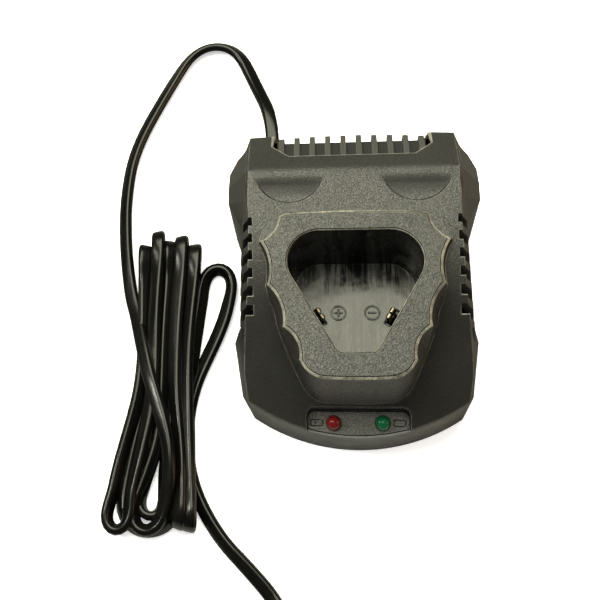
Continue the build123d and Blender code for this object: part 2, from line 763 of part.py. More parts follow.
def board_cut(x, y):
    """Open notch in the board round a housing post."""
    side = 1 if x > 0 else -1
    edge = side * (board_half + 2)
    gap = post_radius + 1.0
    slot = box_between((min(x, edge), max(x, edge)), (y - gap, y + gap), (board_z - 1, board_top_z + 1))
    return rod(x, y, board_z - 1, board_top_z + 1, gap) + slot


def main_board():
    """Circuit board with notches for the housing posts and holes for its screws."""
    right = board_outline
    points = right + [mirrored(point) for point in right[::-1]]
    board = extrude(flat_face(points, board_z), board_thick)
    for x, y in post_spots:
        board -= board_cut(x, y)
    for x, y in board_screw_spots:
        board -= rod(x, y, board_z - 1, board_top_z + 1, board_screw_radius + 0.3)
    return board


def on_board(spot, size):
    """Box that stands on the board."""
    x, y = spot
    return Pos(x, y, board_top_z + size[2] / 2) * Box(*size)


def can(spot, radius, height):
    """Round capacitor can with a rolled groove near its foot."""
    x, y = spot
    body = rod(x, y, board_top_z, board_top_z + height, radius)
    groove = rod(x, y, board_top_z + 2.0, board_top_z + 3.0, radius + 1)
    groove -= rod(x, y, board_top_z + 2.0, board_top_z + 3.0, radius - 0.4)
    return fillet((body - groove).faces().sort_by(Axis.Z)[-1].edges(), 0.6)


def transformer_core():
    """Ferrite core with two windows."""
    x, y = transformer_spot
    core = on_board(transformer_spot, core_size)
    window = (core_size[0] - 2 * core_leg - core_middle) / 2
    offset_x = (core_middle + window) / 2
    for side in (1, -1):
        core -= Pos(x + side * offset_x, y, board_top_z + core_size[2] / 2) * Box(
            window, core_size[1] + 2, core_size[2] - 2 * core_leg)
    return core


def transformer_coil():
    """Taped winding round the core's middle leg, on four pins."""
    x, y = transformer_spot
    middle_z = board_top_z + core_size[2] / 2
    coil = Pos(x, y, middle_z) * Box(*coil_size)
    coil -= Pos(x, y, middle_z) * Box(core_middle + 2 * coil_play, core_size[1] + 2 * coil_play, 2 * core_size[2])
    for side in (1, -1):
        for end in (1, -1):
            coil += rod(x + side * 6, y + end * (coil_size[1] / 2 - 1.5), board_top_z, middle_z, pin_radius)
    return coil


def varistor():
    """Round disc on two legs."""
    x, y = varistor_spot
    middle_z = board_top_z + 2.0 + varistor_radius
    disc = Pos(x, y, middle_z) * (Rot(90, 0, 0) * Cylinder(varistor_radius, varistor_thick))
    for side in (1, -1):
        disc += rod(x + side * 2.5, y, board_top_z, middle_z, pin_radius)
    return disc


def fuse():
    """Glass-style fuse in two end caps, lying along the board's edge."""
    x, y = fuse_spot
    middle_z = board_top_z + fuse_radius
    tube = Pos(x, y, middle_z) * (Rot(90, 0, 0) * Cylinder(fuse_radius - 0.3, fuse_length))
    for end in (1, -1):
        cap = Pos(x, y + end * (fuse_length / 2 - 2.5), middle_z) * (Rot(90, 0, 0) * Cylinder(fuse_radius, 5))
        tube += cap
    return tube


def legged(spot, size, legs, apart):
    """Flat-backed part raised on a row of legs along X."""
    x, y = spot
    body = Pos(x, y, board_top_z + 2.0 + size[2] / 2 - 1.0) * Box(size[0], size[1], size[2] - 2.0)
    for i in range(legs):
        body += rod(x + (i - (legs - 1) / 2) * apart, y, board_top_z, board_top_z + 2.0, pin_radius)
    return body


def chip(spot, size, legs):
    """Flat chip with legs down both sides."""
    x, y = spot
    body = Pos(x, y, board_top_z + 0.3 + (size[2] - 0.3) / 2) * Box(size[0], size[1], size[2] - 0.3)
    for i in range(legs):
        leg_x = x + (i - (legs - 1) / 2) * size[0] / legs
        body += Pos(leg_x, y, board_top_z + 0.3) * Box(0.6, size[1] + 2.4, 0.6)
    return body


def output_inductor():
    """Wound ring lying on the board."""
    x, y = inductor_spot
    ring = rod(x, y, board_top_z, board_top_z + inductor_height, inductor_radius)
    ring -= rod(x, y, board_top_z - 1, board_top_z + inductor_height + 1, inductor_hole)
    rims = ring.edges().filter_by(GeomType.CIRCLE)
    return fillet(rims, 1.6)


def output_diode():
    """Axial diode lying on the board on two bent legs."""
    x, y = diode_spot
    middle_z = board_top_z + diode_radius
    body = Pos(x, y, middle_z) * (Rot(90, 0, 0) * Cylinder(diode_radius, diode_length))
    for end in (1, -1):
        reach = diode_length / 2 + 1.0
        body += Pos(x, y + end * diode_length / 2, middle_z) * (Rot(90, 0, 0) * Cylinder(pin_radius, 2 + pin_radius))
        body += rod(x, y + end * reach, board_top_z, middle_z, pin_radius)
    return body


def heat_sink():
    """Upright plate with a folded top."""
    low = box_between((sink_x, sink_x + sink_thick), (sink_front_y, sink_rear_y), (board_top_z, sink_top_z))
    fold = box_between((sink_x - sink_fold, sink_x + sink_thick), (sink_front_y, sink_rear_y),
                       (sink_top_z - sink_thick, sink_top_z))
    return low + fold


def power_transistor():
    """Flat transistor against the heat sink, on three legs."""
    thick, across, height = transistor_size
    x = sink_x - thick / 2
    z = board_top_z + transistor_lift
    body = Pos(x, transistor_y, z + height / 2) * Box(*transistor_size)
    for i in (-1, 0, 1):
        body += rod(x, transistor_y + i * led_lead_apart, board_top_z, z, pin_radius)
    return body


# ---------------------------------------------------------------- indicator panel and lamps
def panel_surface_z(y):
    """Height of the panel's face."""
    rear_z = cover_z(panel_rear_y) - panel_sink
    return rear_z - (panel_rear_y - y) * tan(radians(panel_slope))


def led_place(side):
    """Frame on the panel's face at a lamp, Z square to the face."""
    tilt = radians(panel_slope)
    return Plane(origin=(side * led_x, led_y, panel_surface_z(led_y)), x_dir=(1, 0, 0),
                 z_dir=(0, -sin(tilt), cos(tilt)))


def battery_mark(side):
    """Engraved outline of a battery with a round end, beside a lamp; the left one has a bar inside."""
    tilt = radians(panel_slope)
    place = Plane(origin=(side * battery_mark_x, led_y, panel_surface_z(led_y)), x_dir=(1, 0, 0),
                  z_dir=(0, -sin(tilt), cos(tilt)))
    mark = battery_shape(0) - battery_shape(battery_mark_line)
    if side < 0:
        mark += Pos(-battery_mark_wide / 4, 0, 0) * Box(battery_mark_line, battery_mark_wide / 2, 2 * battery_mark_deep)
    return place * mark


def battery_shape(inset):
    """Plate with one square and one round end, shrunk evenly."""
    radius = battery_mark_wide / 2 - inset
    straight = battery_mark_long - battery_mark_wide / 2 - inset
    end_x = battery_mark_long / 2 - battery_mark_wide / 2
    plate = Pos(end_x - straight / 2, 0, 0) * Box(straight, 2 * radius, 2 * battery_mark_deep)
    return plate + Pos(end_x, 0, 0) * Cylinder(radius, 2 * battery_mark_deep)


def indicator_panel():
    """Tray under the cover's front window: sloped face with two lamp holes and two battery marks."""
    form = housing_form(skirt_lip + panel_gap, tub_foot_z)
    tray = (form & above_panel(panel_thick, 0)) & under_cover(0)
    tray += (form & above_panel(panel_thick, panel_wall)) & under_cover(wall + seam_gap)
    tray -= above_panel(0, 0)
    for side in (1, -1):
        tray -= battery_mark(side)
        tray -= led_place(side) * Cylinder(led_radius + led_seat, 4 * led_collar)
    return tray


def led(side):
    """Indicator lamp: dome, collar under the panel and two leads down to the board."""
    body = Pos(0, 0, (led_above - led_below) / 2) * Cylinder(led_radius, led_above + led_below)
    body += Pos(0, 0, led_above) * Sphere(led_radius)
    body += Pos(0, 0, -panel_thick - seam_gap - 0.5) * Cylinder(led_collar, 1.0)
    body = led_place(side) * body
    for end in (1, -1):
        lead_x = side * led_x + end * led_lead_apart / 2
        body += box_between((lead_x - led_lead / 2, lead_x + led_lead / 2),
                            (led_y - led_lead / 2, led_y + led_lead / 2),
                            (board_top_z, panel_surface_z(led_y) - 2))
    return body


# ---------------------------------------------------------------- rear grille
def grille_fins():
    """Round-topped upright fins on the recessed wall, their tops just under the cover's slope."""
    root_y = grille_wall_y - grille_plate / 2
    front = notch_front_y + seam_gap
    under = wall + seam_gap + grille_plate / 2
    middle = (fin_count - 1) / 2
    fins = []
    for i in range(fin_count):
        rear = fin_rear_y - fin_bow * ((i - middle) / middle) ** 2
        head_z = cover_z(rear, fin_drop)
        top_y = rear - fin_round
        with BuildSketch(Plane.YZ.offset((i - middle) * fin_pitch)) as side:
            with BuildLine():
                Line((root_y, grille_foot_z), (rear, grille_foot_z))
                Line((rear, grille_foot_z), (rear, head_z - fin_round))
                ThreePointArc((rear, head_z - fin_round), (rear - fin_round * 0.25, head_z - fin_round * 0.25),
                              (top_y, cover_z(top_y, fin_drop)))
                Polyline([(top_y, cover_z(top_y, fin_drop)), (front, cover_z(front, fin_drop)),
                          (front, cover_z(front, under)), (root_y, cover_z(root_y, under)), (root_y, grille_foot_z)])
            make_face()
        fins.append(extrude(side.sketch, fin_thick / 2, both=True))
    return fins


def vent_grille():
    """Grille in the rear window: recessed wall with slots, roof, cheeks, sill and ten fins."""
    half = grille_half
    under = wall + seam_gap
    plate_y = grille_wall_y - grille_plate
    slot_high_z = cover_z(grille_wall_y, under + grille_plate) - slot_head
    body = box_between((-half, half), (plate_y, grille_wall_y), (grille_foot_z, cover_height))
    body += box_between((-half, half), (plate_y, grille_sill_y), (grille_foot_z, grille_foot_z + grille_plate))
    for side in (1, -1):
        inner = side * (half - grille_cheek)
        outer = side * half
        body += box_between((min(inner, outer), max(inner, outer)), (plate_y, grille_sill_y),
                            (grille_foot_z, cover_height))
    body = body & under_cover(under)
    roof = under_cover(under) - under_cover(under + grille_plate)
    body += roof & box_between((-half, half), (notch_front_y - grille_tuck, grille_wall_y), (0, cover_height))
    for i in range(fin_count - 1):
        x = (i - (fin_count - 2) / 2) * fin_pitch
        body -= box_between((x - slot_half, x + slot_half), (plate_y - wall, grille_wall_y + wall),
                            (slot_low_z, slot_high_z))
    open_top = rear_notch(-seam_gap)
    for fin in grille_fins():
        body += (fin & under_cover(under)) + (fin & open_top)
    return body


# ---------------------------------------------------------------- screws and feet
def screws(spots, seat_z, shank, head, head_height, length, up):
    """Cross-head screws at the spots; the shank runs up or down from the seat."""
    turn = 1 if up else -1
    parts = []
    for x, y in spots:
        low, high = sorted((seat_z, seat_z + turn * length))
        screw = rod(x, y, low, high, shank)
        low, high = sorted((seat_z, seat_z - turn * head_height))
        screw += rod(x, y, low, high, head)
        cross_z = seat_z - turn * head_height
        cross = Box(head * 1.2, 0.7, 1.4) + Box(0.7, head * 1.2, 1.4)
        parts.append(screw - Pos(x, y, cross_z) * cross)
    return Compound(parts)


def rubber_feet():
    """Four round feet pressed into their pockets."""
    feet = [rod(x, y, 0, tub_foot_z + foot_pocket, foot_radius) for x, y in foot_spots]
    return Compound([chamfer(foot.faces().sort_by(Axis.Z)[0].edges(), 0.4) for foot in feet])


# ---------------------------------------------------------------- cord
def cord_bushing():
    """Strain relief moulded on the cord: tapered sleeve, flange, neck, inner flange and the sheath's end."""
    sleeve = loft([cord_oval(rear_y, bushing_skin), cord_oval(rear_y + bushing_out, bushing_tip)], ruled=True)
    flange = extrude(cord_oval(rear_y, bushing_skin + bushing_rim), bushing_flange)
    neck = extrude(cord_oval(rear_y, bushing_skin), -(rear_y - bushing_inner_y))
    stop = extrude(cord_oval(bushing_inner_y, bushing_skin + bushing_rim), bushing_flange)
    sheath = extrude(cord_oval(bushing_inner_y, 0), -(bushing_inner_y - sheath_end_y))
    return sleeve + flange + neck + stop + sheath


def cord_clamp():
    """Bar over the cord inside the housing, screwed to two posts."""
    half = clamp_half + clamp_post_radius
    bar = box_between((cord_exit_x - half, cord_exit_x + half),
                      (clamp_y - clamp_width / 2, clamp_y + clamp_width / 2),
                      (clamp_seat_z, clamp_seat_z + clamp_thick))
    for x in (cord_exit_x - clamp_half, cord_exit_x + clamp_half):
        bar -= rod(x, clamp_y, 0, 20, board_screw_radius + 0.3)
    return bar


def corner_radii(points):
    """Arc radius for each inner point of a route, from its shorter run and its turn."""
    radii = []
    for before, here, after in zip(points, points[1:], points[2:]):
        first = Vector(*here) - Vector(*before)
        second = Vector(*after) - Vector(*here)
        turn = radians(first.get_angle(second))
        radii.append(0.45 * min(first.length, second.length) / tan(turn / 2))
    return radii


def route(points, radii):
    """Route of straight runs joined by arcs."""
    edges = []
    start = Vector(*points[0])
    for before, here, after, radius in zip(points, points[1:], points[2:], radii):
        corner = Vector(*here)
        back = (Vector(*before) - corner).normalized()
        ahead = (Vector(*after) - corner).normalized()
        half = (pi - radians(back.get_angle(ahead))) / 2
        reach = radius * tan(half)
        enter = corner + back * reach
        leave = corner + ahead * reach
        bisect = (back + ahead).normalized()
        middle = corner + bisect * (radius / cos(half) - radius)
        edges.append(Edge.make_line(start, enter))
        edges.append(Edge.make_three_point_arc(enter, middle, leave))
        start = leave
    edges.append(Edge.make_line(start, Vector(*points[-1])))
    return Wire(edges)


def flat_cord(name, points):
    """Flat two-core cord swept along its route with its wide side level."""
    radii = corner_radii(points)
    print(name, "arc radii", [round(r, 1) for r in radii])
    path = route(points, radii)
    start = Vector(*points[0])
    ahead = (Vector(*points[1]) - start).normalized()
    plane = Plane(origin=start, x_dir=ahead.cross(Vector(0, 0, 1)), z_dir=ahead)
    section = plane * SlotCenterToCenter(cord_width - cord_thick, cord_thick)
    body = sweep(section, path=path)
    area = (cord_width - cord_thick) * cord_thick + pi * cord_thick ** 2 / 4
    print(name, "length", round(path.length, 1), "volume ratio", round(body.volume / area / path.length, 4))
    return body


def wire(name, points):
    """Insulated core from the sheath's end over to its joint on the board."""
    radii = [min(wire_bend, r) for r in corner_radii(points)]
    print(name, "arc radii", [round(r, 1) for r in radii])
    path = route(points, radii)
    ahead = (Vector(*points[1]) - Vector(*points[0])).normalized()
    section = Plane(origin=points[0], z_dir=ahead) * Circle(wire_radius)
    return sweep(section, path=path)


def cord_hank():
    """Outer shape of the tied hank of cord."""
    hank = extrude(flat_face(hank_outline, 0), hank_height)
    return chamfer(hank.faces().sort_by(Axis.Z)[-1].edges(), hank_round)


def plug_place():
    """Frame at the plug's cord end: Z along the plug towards the pins, X level."""
    ahead = (Vector(*tail_points[-1]) - Vector(*tail_points[-2]))
    ahead = Vector(ahead.X, ahead.Y, 0).normalized()
    return Plane(origin=tail_points[-1], x_dir=ahead.cross(Vector(0, 0, 1)), z_dir=ahead)


def plug_body():
    """Moulded flat plug: neck that widens into a body with cut-off corners."""
    place = plug_place()
    small = SlotCenterToCenter(cord_width - cord_thick + 1, cord_thick + 3)
    outline = [
        (plug_width / 2, 0), (plug_width / 2 - plug_corner, plug_height / 2),
        (-plug_width / 2 + plug_corner, plug_height / 2), (-plug_width / 2, 0),
        (-plug_width / 2 + plug_corner, -plug_height / 2), (plug_width / 2 - plug_corner, -plug_height / 2),
    ]
    face = flat_face(outline, plug_neck_length)
    rear = Pos(0, 0, plug_neck_length) * scale(flat_face(outline, 0), by=(0.62, 0.8, 1))
    shoulder = loft([rear, Pos(0, 0, 8) * face], ruled=True)
    body = shoulder + extrude(Pos(0, 0, 8) * face, plug_body_length - 8)
    neck = loft([small, Pos(0, 0, plug_neck_length) * SlotCenterToCenter(9, 9)], ruled=True)
    for side in (1, -1):
        depth = plug_neck_length + plug_body_length
        body -= Pos(side * pin_apart / 2, 0, depth - plug_pin_seat / 2) * Cylinder(plug_pin_radius, plug_pin_seat)
    return place * (neck + body)


def plug_pins():
    """Two round pins with half-sleeved shanks."""
    place = plug_place()
    depth = plug_neck_length + plug_body_length
    pins = []
    for side in (1, -1):
        length = plug_pin_length + plug_pin_seat
        pin = Cylinder(plug_pin_radius, length)
        pin = fillet(pin.faces().sort_by(Axis.Z)[-1].edges(), plug_pin_radius * 0.8)
        pins.append(place * (Pos(side * pin_apart / 2, 0, depth - plug_pin_seat + length / 2) * pin))
    return Compound(pins)


# ---------------------------------------------------------------- write every piece
def pieces():
    """Every piece by name."""
    clamp_spots = [(cord_exit_x - clamp_half, clamp_y), (cord_exit_x + clamp_half, clamp_y)]
    shank = board_screw_radius - 0.05
    return {
        "lower_housing": lower_housing(),
        "upper_housing": upper_housing(),
        "socket_well": socket_well(),
        "vent_grille": vent_grille(),
        "indicator_panel": indicator_panel(),
        "red_led": led(-1),
        "green_led": led(1),
        "contact_positive": contact(-1),
        "contact_negative": contact(1),
        "terminal_block": terminal_block(),
        "main_board": main_board(),
        "transformer_core": transformer_core(),
        "transformer_coil": transformer_coil(),
        "input_capacitor": can(input_cap_spot, input_cap_radius, input_cap_height),
        "output_capacitor": can(output_cap_spot, output_cap_radius, output_cap_height),
        "line_choke": on_board(choke_spot, choke_size),
        "varistor": varistor(),
        "fuse": fuse(),
        "bridge_rectifier": legged(bridge_spot, bridge_size, 4, 3.8),
        "optocoupler": chip(opto_spot, opto_size, 2),
        "controller_chip": chip(chip_spot, chip_size, 6),
        "output_inductor": output_inductor(),
        "output_diode": output_diode(),
        "heat_sink": heat_sink(),
        "power_transistor": power_transistor(),
        "housing_screws": screws(post_spots, screw_seat_z, screw_radius - 0.05, screw_head_radius,
                                 screw_head_height, screw_length, True),
        "board_screws": screws(board_screw_spots, board_top_z, shank, board_screw_head,
                               board_screw_head_height, board_screw_length + board_thick, False),
        "clamp_screws": screws(clamp_spots, clamp_seat_z + clamp_thick, shank, board_screw_head,
                               board_screw_head_height, clamp_screw_length, False),
        "rubber_feet": rubber_feet(),
        "cord_bushing": cord_bushing(),
        "cord_clamp": cord_clamp(),
        "wire_live": wire("wire_live", live_points),
        "wire_neutral": wire("wire_neutral", neutral_points),
        "cord_lead": flat_cord("cord_lead", lead_points),
        "cord_hank": cord_hank(),
        "cord_tail": flat_cord("cord_tail", tail_points),
        "plug_body": plug_body(),
        "plug_pins": plug_pins(),
    }


for name, shape in pieces().items():
    export_step(shape, "parts/" + name + ".step")
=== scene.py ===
"""Slide-in battery charger: finishes for its shells and the pieces made by hand around them."""

import math

import bmesh
import bpy
from bpy.props import FloatProperty, FloatVectorProperty, IntProperty, PointerProperty
from mathutils import Matrix, Vector


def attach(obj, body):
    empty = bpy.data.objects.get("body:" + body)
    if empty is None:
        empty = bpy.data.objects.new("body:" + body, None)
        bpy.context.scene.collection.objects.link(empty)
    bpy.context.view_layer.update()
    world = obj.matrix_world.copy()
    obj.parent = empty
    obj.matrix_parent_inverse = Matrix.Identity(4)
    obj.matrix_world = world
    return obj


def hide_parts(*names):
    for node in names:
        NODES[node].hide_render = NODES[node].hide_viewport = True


bl_info = {
    "name": "Battery charger",
    "version": (1, 0, 0),
    "blender": (4, 5, 0),
    "location": "View3D > Sidebar > Charger",
    "description": "Finishes a slide-in battery charger and lays its mains cord",
    "category": "Object",
}

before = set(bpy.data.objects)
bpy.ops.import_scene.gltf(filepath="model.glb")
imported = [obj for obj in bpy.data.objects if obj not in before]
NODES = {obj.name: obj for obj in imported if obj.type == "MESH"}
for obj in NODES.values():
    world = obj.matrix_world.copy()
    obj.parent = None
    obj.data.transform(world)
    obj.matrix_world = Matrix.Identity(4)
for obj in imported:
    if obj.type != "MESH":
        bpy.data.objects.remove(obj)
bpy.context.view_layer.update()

MM = 0.001

# The cord's route in millimetres, in the order that the cord runs from the housing to the plug
LEAD = (
    (-31.0, 67.0, 9.0), (-31.2, 80.0, 9.0), (-38.0, 97.5, 3.4), (-46.7, 118.3, 1.77), (-64.1, 119.1, 1.77),
    (-76.6, 97.4, 1.77), (-89.5, 70.5, 1.77), (-92.3, 48.0, 1.77), (-91.4, 28.0, 2.2),
)
FIRST_RUN = (
    (-89.7, 15.0, 2.2), (-87.9, 5.1, 2.8), (-85.5, -2.2, 4.4), (-83.3, -10.5, 6.8), (-80.9, -19.5, 9.6),
    (-78.1, -29.4, 11.8), (-75.4, -37.1, 12.5), (-73.4, -42.9, 12.6), (-71.5, -49.1, 12.6), (-70.0, -55.1, 12.5),
    (-69.2, -61.7, 12.1), (-69.0, -67.8, 11.3), (-69.9, -73.9, 9.6), (-71.3, -78.8, 7.8), (-73.8, -83.0, 6.2),
    (-77.5, -87.0, 5.2), (-81.5, -85.7, 4.8),
)
TURN_A = (
    (-82.4, -79.9, 5.0), (-80.8, -73.3, 5.3), (-78.0, -65.4, 5.4), (-75.1, -55.7, 5.4), (-73.6, -45.2, 5.4),
    (-73.2, -33.4, 5.4), (-73.1, -18.9, 5.4), (-72.8, -4.0, 5.4), (-72.2, 8.7, 5.6), (-72.1, 19.1, 5.8),
    (-72.3, 24.8, 5.6), (-72.6, 27.2, 4.0), (-72.7, 26.2, 2.4), (-72.5, 20.4, 1.8), (-71.9, 9.9, 1.8),
    (-71.0, -4.1, 1.8), (-70.2, -20.3, 1.8), (-70.4, -34.9, 1.8), (-71.1, -47.9, 1.8), (-71.7, -59.5, 1.8),
    (-72.3, -69.8, 1.8), (-73.3, -77.7, 2.4), (-75.8, -81.6, 2.8), (-79.0, -80.6, 2.8),
)
TURN_B = (
    (-80.2, -75.6, 2.4), (-79.1, -67.6, 1.8), (-77.7, -57.3, 1.8), (-76.0, -46.8, 1.8), (-75.2, -34.9, 1.8),
    (-75.3, -20.3, 1.8), (-76.0, -4.1, 1.8), (-76.9, 10.0, 1.8), (-77.4, 21.8, 1.8), (-77.6, 28.7, 2.4),
    (-77.4, 31.0, 5.4), (-77.0, 28.4, 8.4), (-76.6, 20.5, 9.1), (-76.9, 7.6, 9.1), (-77.2, -7.5, 9.0),
    (-77.0, -22.2, 8.8), (-77.0, -34.2, 8.6), (-78.3, -45.3, 8.2), (-80.4, -56.2, 7.6), (-82.6, -66.3, 7.0),
    (-84.6, -75.7, 6.2), (-86.2, -83.4, 5.2), (-88.5, -87.2, 4.5), (-91.1, -86.2, 4.4),
)
TURN_C = (
    (-91.9, -81.8, 4.8), (-91.0, -73.5, 5.2), (-89.3, -64.1, 5.6), (-87.0, -54.5, 5.8), (-84.4, -44.2, 5.8),
    (-82.2, -33.7, 5.8), (-81.3, -22.2, 5.8), (-81.4, -7.5, 5.8), (-82.0, 7.7, 6.0), (-82.2, 18.3, 6.2),
    (-82.3, 23.6, 5.6), (-82.4, 25.7, 4.0), (-82.5, 24.4, 2.4), (-82.2, 19.9, 1.8), (-81.5, 10.0, 1.8),
    (-80.6, -5.3, 1.8), (-80.2, -20.3, 1.8), (-80.7, -32.5, 1.8), (-82.5, -43.3, 1.8), (-84.8, -53.9, 1.8),
    (-86.8, -64.3, 1.8), (-87.9, -73.4, 1.8), (-87.0, -80.7, 2.2), (-82.9, -85.0, 2.7), (-77.5, -86.2, 2.7),
    (-71.6, -84.5, 2.7),
)
TURN_D = (
    (-68.0, -80.4, 2.2), (-67.2, -72.0, 1.8), (-66.7, -61.8, 1.8), (-66.9, -50.2, 1.8), (-67.7, -38.5, 1.8),
    (-67.6, -25.2, 1.8), (-67.3, -10.4, 1.8), (-67.3, 4.7, 1.8), (-67.6, 19.0, 1.8), (-67.8, 26.7, 2.4),
    (-67.7, 29.1, 5.2), (-67.5, 26.4, 8.0), (-67.3, 19.1, 8.6), (-67.9, 7.5, 8.6), (-68.7, -6.3, 8.6),
    (-68.8, -21.0, 8.6), (-68.3, -34.2, 8.6), (-67.0, -45.9, 8.6), (-65.7, -56.7, 8.6), (-65.0, -66.7, 8.6),
    (-65.1, -76.0, 8.5), (-65.5, -82.9, 7.8), (-66.0, -85.2, 5.4), (-66.4, -82.8, 2.8),
)
TURN_E = (
    (-66.6, -76.0, 2.0), (-66.3, -65.5, 1.8), (-66.0, -54.0, 1.8), (-65.7, -42.1, 1.8), (-65.0, -30.1, 1.8),
    (-64.1, -15.4, 1.8), (-63.2, -0.4, 1.8), (-62.7, 15.0, 1.8), (-62.6, 22.8, 2.4), (-62.3, 25.2, 5.4),
    (-62.0, 22.6, 8.4), (-62.0, 15.4, 9.1), (-62.5, 4.9, 9.1), (-63.4, -8.8, 9.0), (-64.0, -22.3, 8.8),
    (-63.8, -35.4, 8.6), (-63.4, -47.1, 8.4), (-62.7, -58.4, 8.2), (-62.1, -68.3, 8.0), (-61.7, -76.5, 7.9),
    (-61.8, -83.8, 7.2), (-62.0, -86.2, 5.2), (-62.4, -83.8, 3.0),
)
LAST_LOOP = (
    (-62.8, -76.0, 2.2), (-63.1, -63.5, 2.2), (-63.4, -52.1, 2.2), (-63.8, -40.5, 2.6), (-63.2, -29.7, 3.8),
    (-62.1, -18.6, 4.4), (-60.8, -7.2, 3.6), (-59.7, 3.1, 2.9), (-58.0, 11.8, 2.7), (-54.9, 16.5, 2.7),
    (-51.2, 16.8, 2.7), (-48.6, 12.9, 2.7), (-48.1, 6.0, 2.7), (-50.0, -3.3, 2.7), (-53.2, -12.0, 2.6),
    (-57.0, -20.5, 2.4), (-60.6, -28.9, 2.0), (-63.0, -38.4, 1.8), (-64.0, -49.0, 1.8), (-63.4, -59.4, 1.8),
    (-61.3, -68.5, 1.8), (-57.8, -76.5, 1.8), (-53.4, -83.9, 1.8), (-48.4, -90.5, 1.8),
)
TAIL = (
    (-41.2, -97.5, 1.77), (-30.0, -109.4, 1.77), (-21.5, -127.5, 6.85), (-20.0, -146.0, 6.85),
)
CORD_ROUTE = [tuple(round(v / 1000, 6) for v in point) for point in
              LEAD + FIRST_RUN + TURN_A + TURN_B + TURN_C + TURN_D + TURN_E + LAST_LOOP + TAIL]
CORD_EXIT = CORD_ROUTE[0]

# Screws in millimetres: node, spots, seat height, head radius and height, shank radius, length, head down
SCREW_SETS = (
    ("housing_screws", ((32.4, 33.5), (-32.4, 33.5), (32.6, -29.0), (-32.6, -29.0)), 4.2, 2.8, 1.8, 1.4, 18.0, True),
    ("board_screws", ((31.0, 24.0), (-31.0, 24.0), (31.0, -14.0), (-31.0, -14.0)), 10.6, 2.4, 1.5, 1.2, 6.6, False),
    ("clamp_screws", ((-37.6, 46.0), (-24.4, 46.0)), 12.65, 2.4, 1.5, 1.2, 7.0, False),
)

# Places on the shells, in metres, that the finishes keep to
CREASE_BAND = (0.0300, 0.0400)
FLAT_TOP_Z = 0.0565
NOTCH_FRONT_Y = 0.0426
NOTCH_FRONT_HALF = 0.0227
NOTCH_REAR_HALF = 0.0288
PANEL_REAR = (-0.0453, 0.021201)
PANEL_SLOPE = math.tan(math.radians(14))
FIN_PITCH = 0.0057

# The cord, in metres
CORD_WIDTH = 0.0054
CORD_THICKNESS = 0.0033
CROWN = 0.00006  # how far the flat sides stand out in their middle
CLEAR_OF_FLOOR = 0.00005
FOLD_LIMIT = 0.0054  # a bend within this radius is opened
FOLD_REACH = 0.016  # along the cord, to each side of the fold
FOLD_ROUNDS = 500
FOLD_EASE = 0.06  # share of the bending that a round spreads
LENGTH_ROUNDS = 8  # times that a round sets the points' distances right
FOLD_LEAST_Z = 0.0018
LEVEL_PULL = 0.16  # how fast the flat side lies down again
BEND_PULL = 150  # how fast it turns to face a bend
OUTER_LEAN = 0.55  # how far the flat side leans over outside the hank, in radians
INNER_LEAN = 0.66  # and inside it

# The contacts in millimetres, from the middle of the leaf's foot: how far towards the prongs' lean, and how high
LEAF_STEM = ((0.0, 0.0), (0.0, 12.3))
LEAF_PRONG = ((0.0, 11.9), (0.0, 14.1), (0.06, 14.65), (0.26, 15.10), (0.60, 15.36), (1.00, 15.42), (1.36, 15.32),
              (1.62, 15.05))
LEAF_STRIPS = ((LEAF_STEM, -2.1, 2.1), (LEAF_PRONG, -2.1, -0.4), (LEAF_PRONG, 0.4, 2.1))
LEAF_THICKNESS = 0.48
LEAF_FOOT = 0.5  # height of the part of the leaf that its foot is measured on
LEAF_HEAD = 15.4  # and of the part that its lean is measured on

# Mouldings inside: name, colour, roughness, grain size and depth, speckle, stretch of the marks, nodes
PLAIN_STRETCH = (90, 2400, 900)
INNER_MOULDINGS = (
    ("epoxy_black", (0.028, 0.028, 0.028), 0.45, 0.0006, 0.00003, 0.5, PLAIN_STRETCH,
     ("terminal_block", "bridge_rectifier", "optocoupler", "controller_chip", "output_diode", "power_transistor",
      "cord_clamp")),
    ("board_green", (0.035, 0.15, 0.065), 0.35, 0.0011, 0.00003, 0.4, (900, 260, 900), ("main_board",)),
    ("ferrite", (0.095, 0.095, 0.10), 0.55, 0.0005, 0.00004, 0.9, PLAIN_STRETCH, ("transformer_core",)),
    ("winding_tape", (0.72, 0.52, 0.09), 0.28, 0.0018, 0.00002, 0.3, (200, 200, 3000), ("transformer_coil",)),
    ("shrink_sleeve", (0.028, 0.036, 0.09), 0.30, 0.0015, 0.00002, 0.3, PLAIN_STRETCH,
     ("input_capacitor", "output_capacitor")),
    ("dipped_blue", (0.05, 0.16, 0.45), 0.35, 0.0010, 0.00005, 0.4, PLAIN_STRETCH, ("varistor",)),
    ("glazed_ceramic", (0.72, 0.70, 0.63), 0.22, 0.0012, 0.00001, 0.15, PLAIN_STRETCH, ("fuse",)),
    ("brown_insulation", (0.20, 0.085, 0.03), 0.38, 0.0008, 0.00001, 0.3, PLAIN_STRETCH, ("wire_live",)),
    ("blue_insulation", (0.05, 0.14, 0.5), 0.38, 0.0008, 0.00001, 0.3, PLAIN_STRETCH, ("wire_neutral",)),
)

# Lights: name, place, what it faces, size, the setting that holds its power, colour
LIGHTS = (
    ("key_light", (-0.14, 0.46, 1.0), (0, 0, 0.04), 0.9, "key_power", (1.0, 0.99, 0.78)),
    ("broad_fill", (0.0, 0.0, 1.6), (0, 0, 0), 2.2, "fill_power", (1, 1, 1)),
    ("edge_light", (-0.80, 0.10, 0.70), (-0.04, 0, 0.03), 0.14, "edge_power", (1.0, 0.98, 0.86)),
    ("warm_card", (0.75, 0.05, 0.22), (0, 0, 0.03), 0.4, "warm_power", (1.0, 0.62, 0.33)),
)

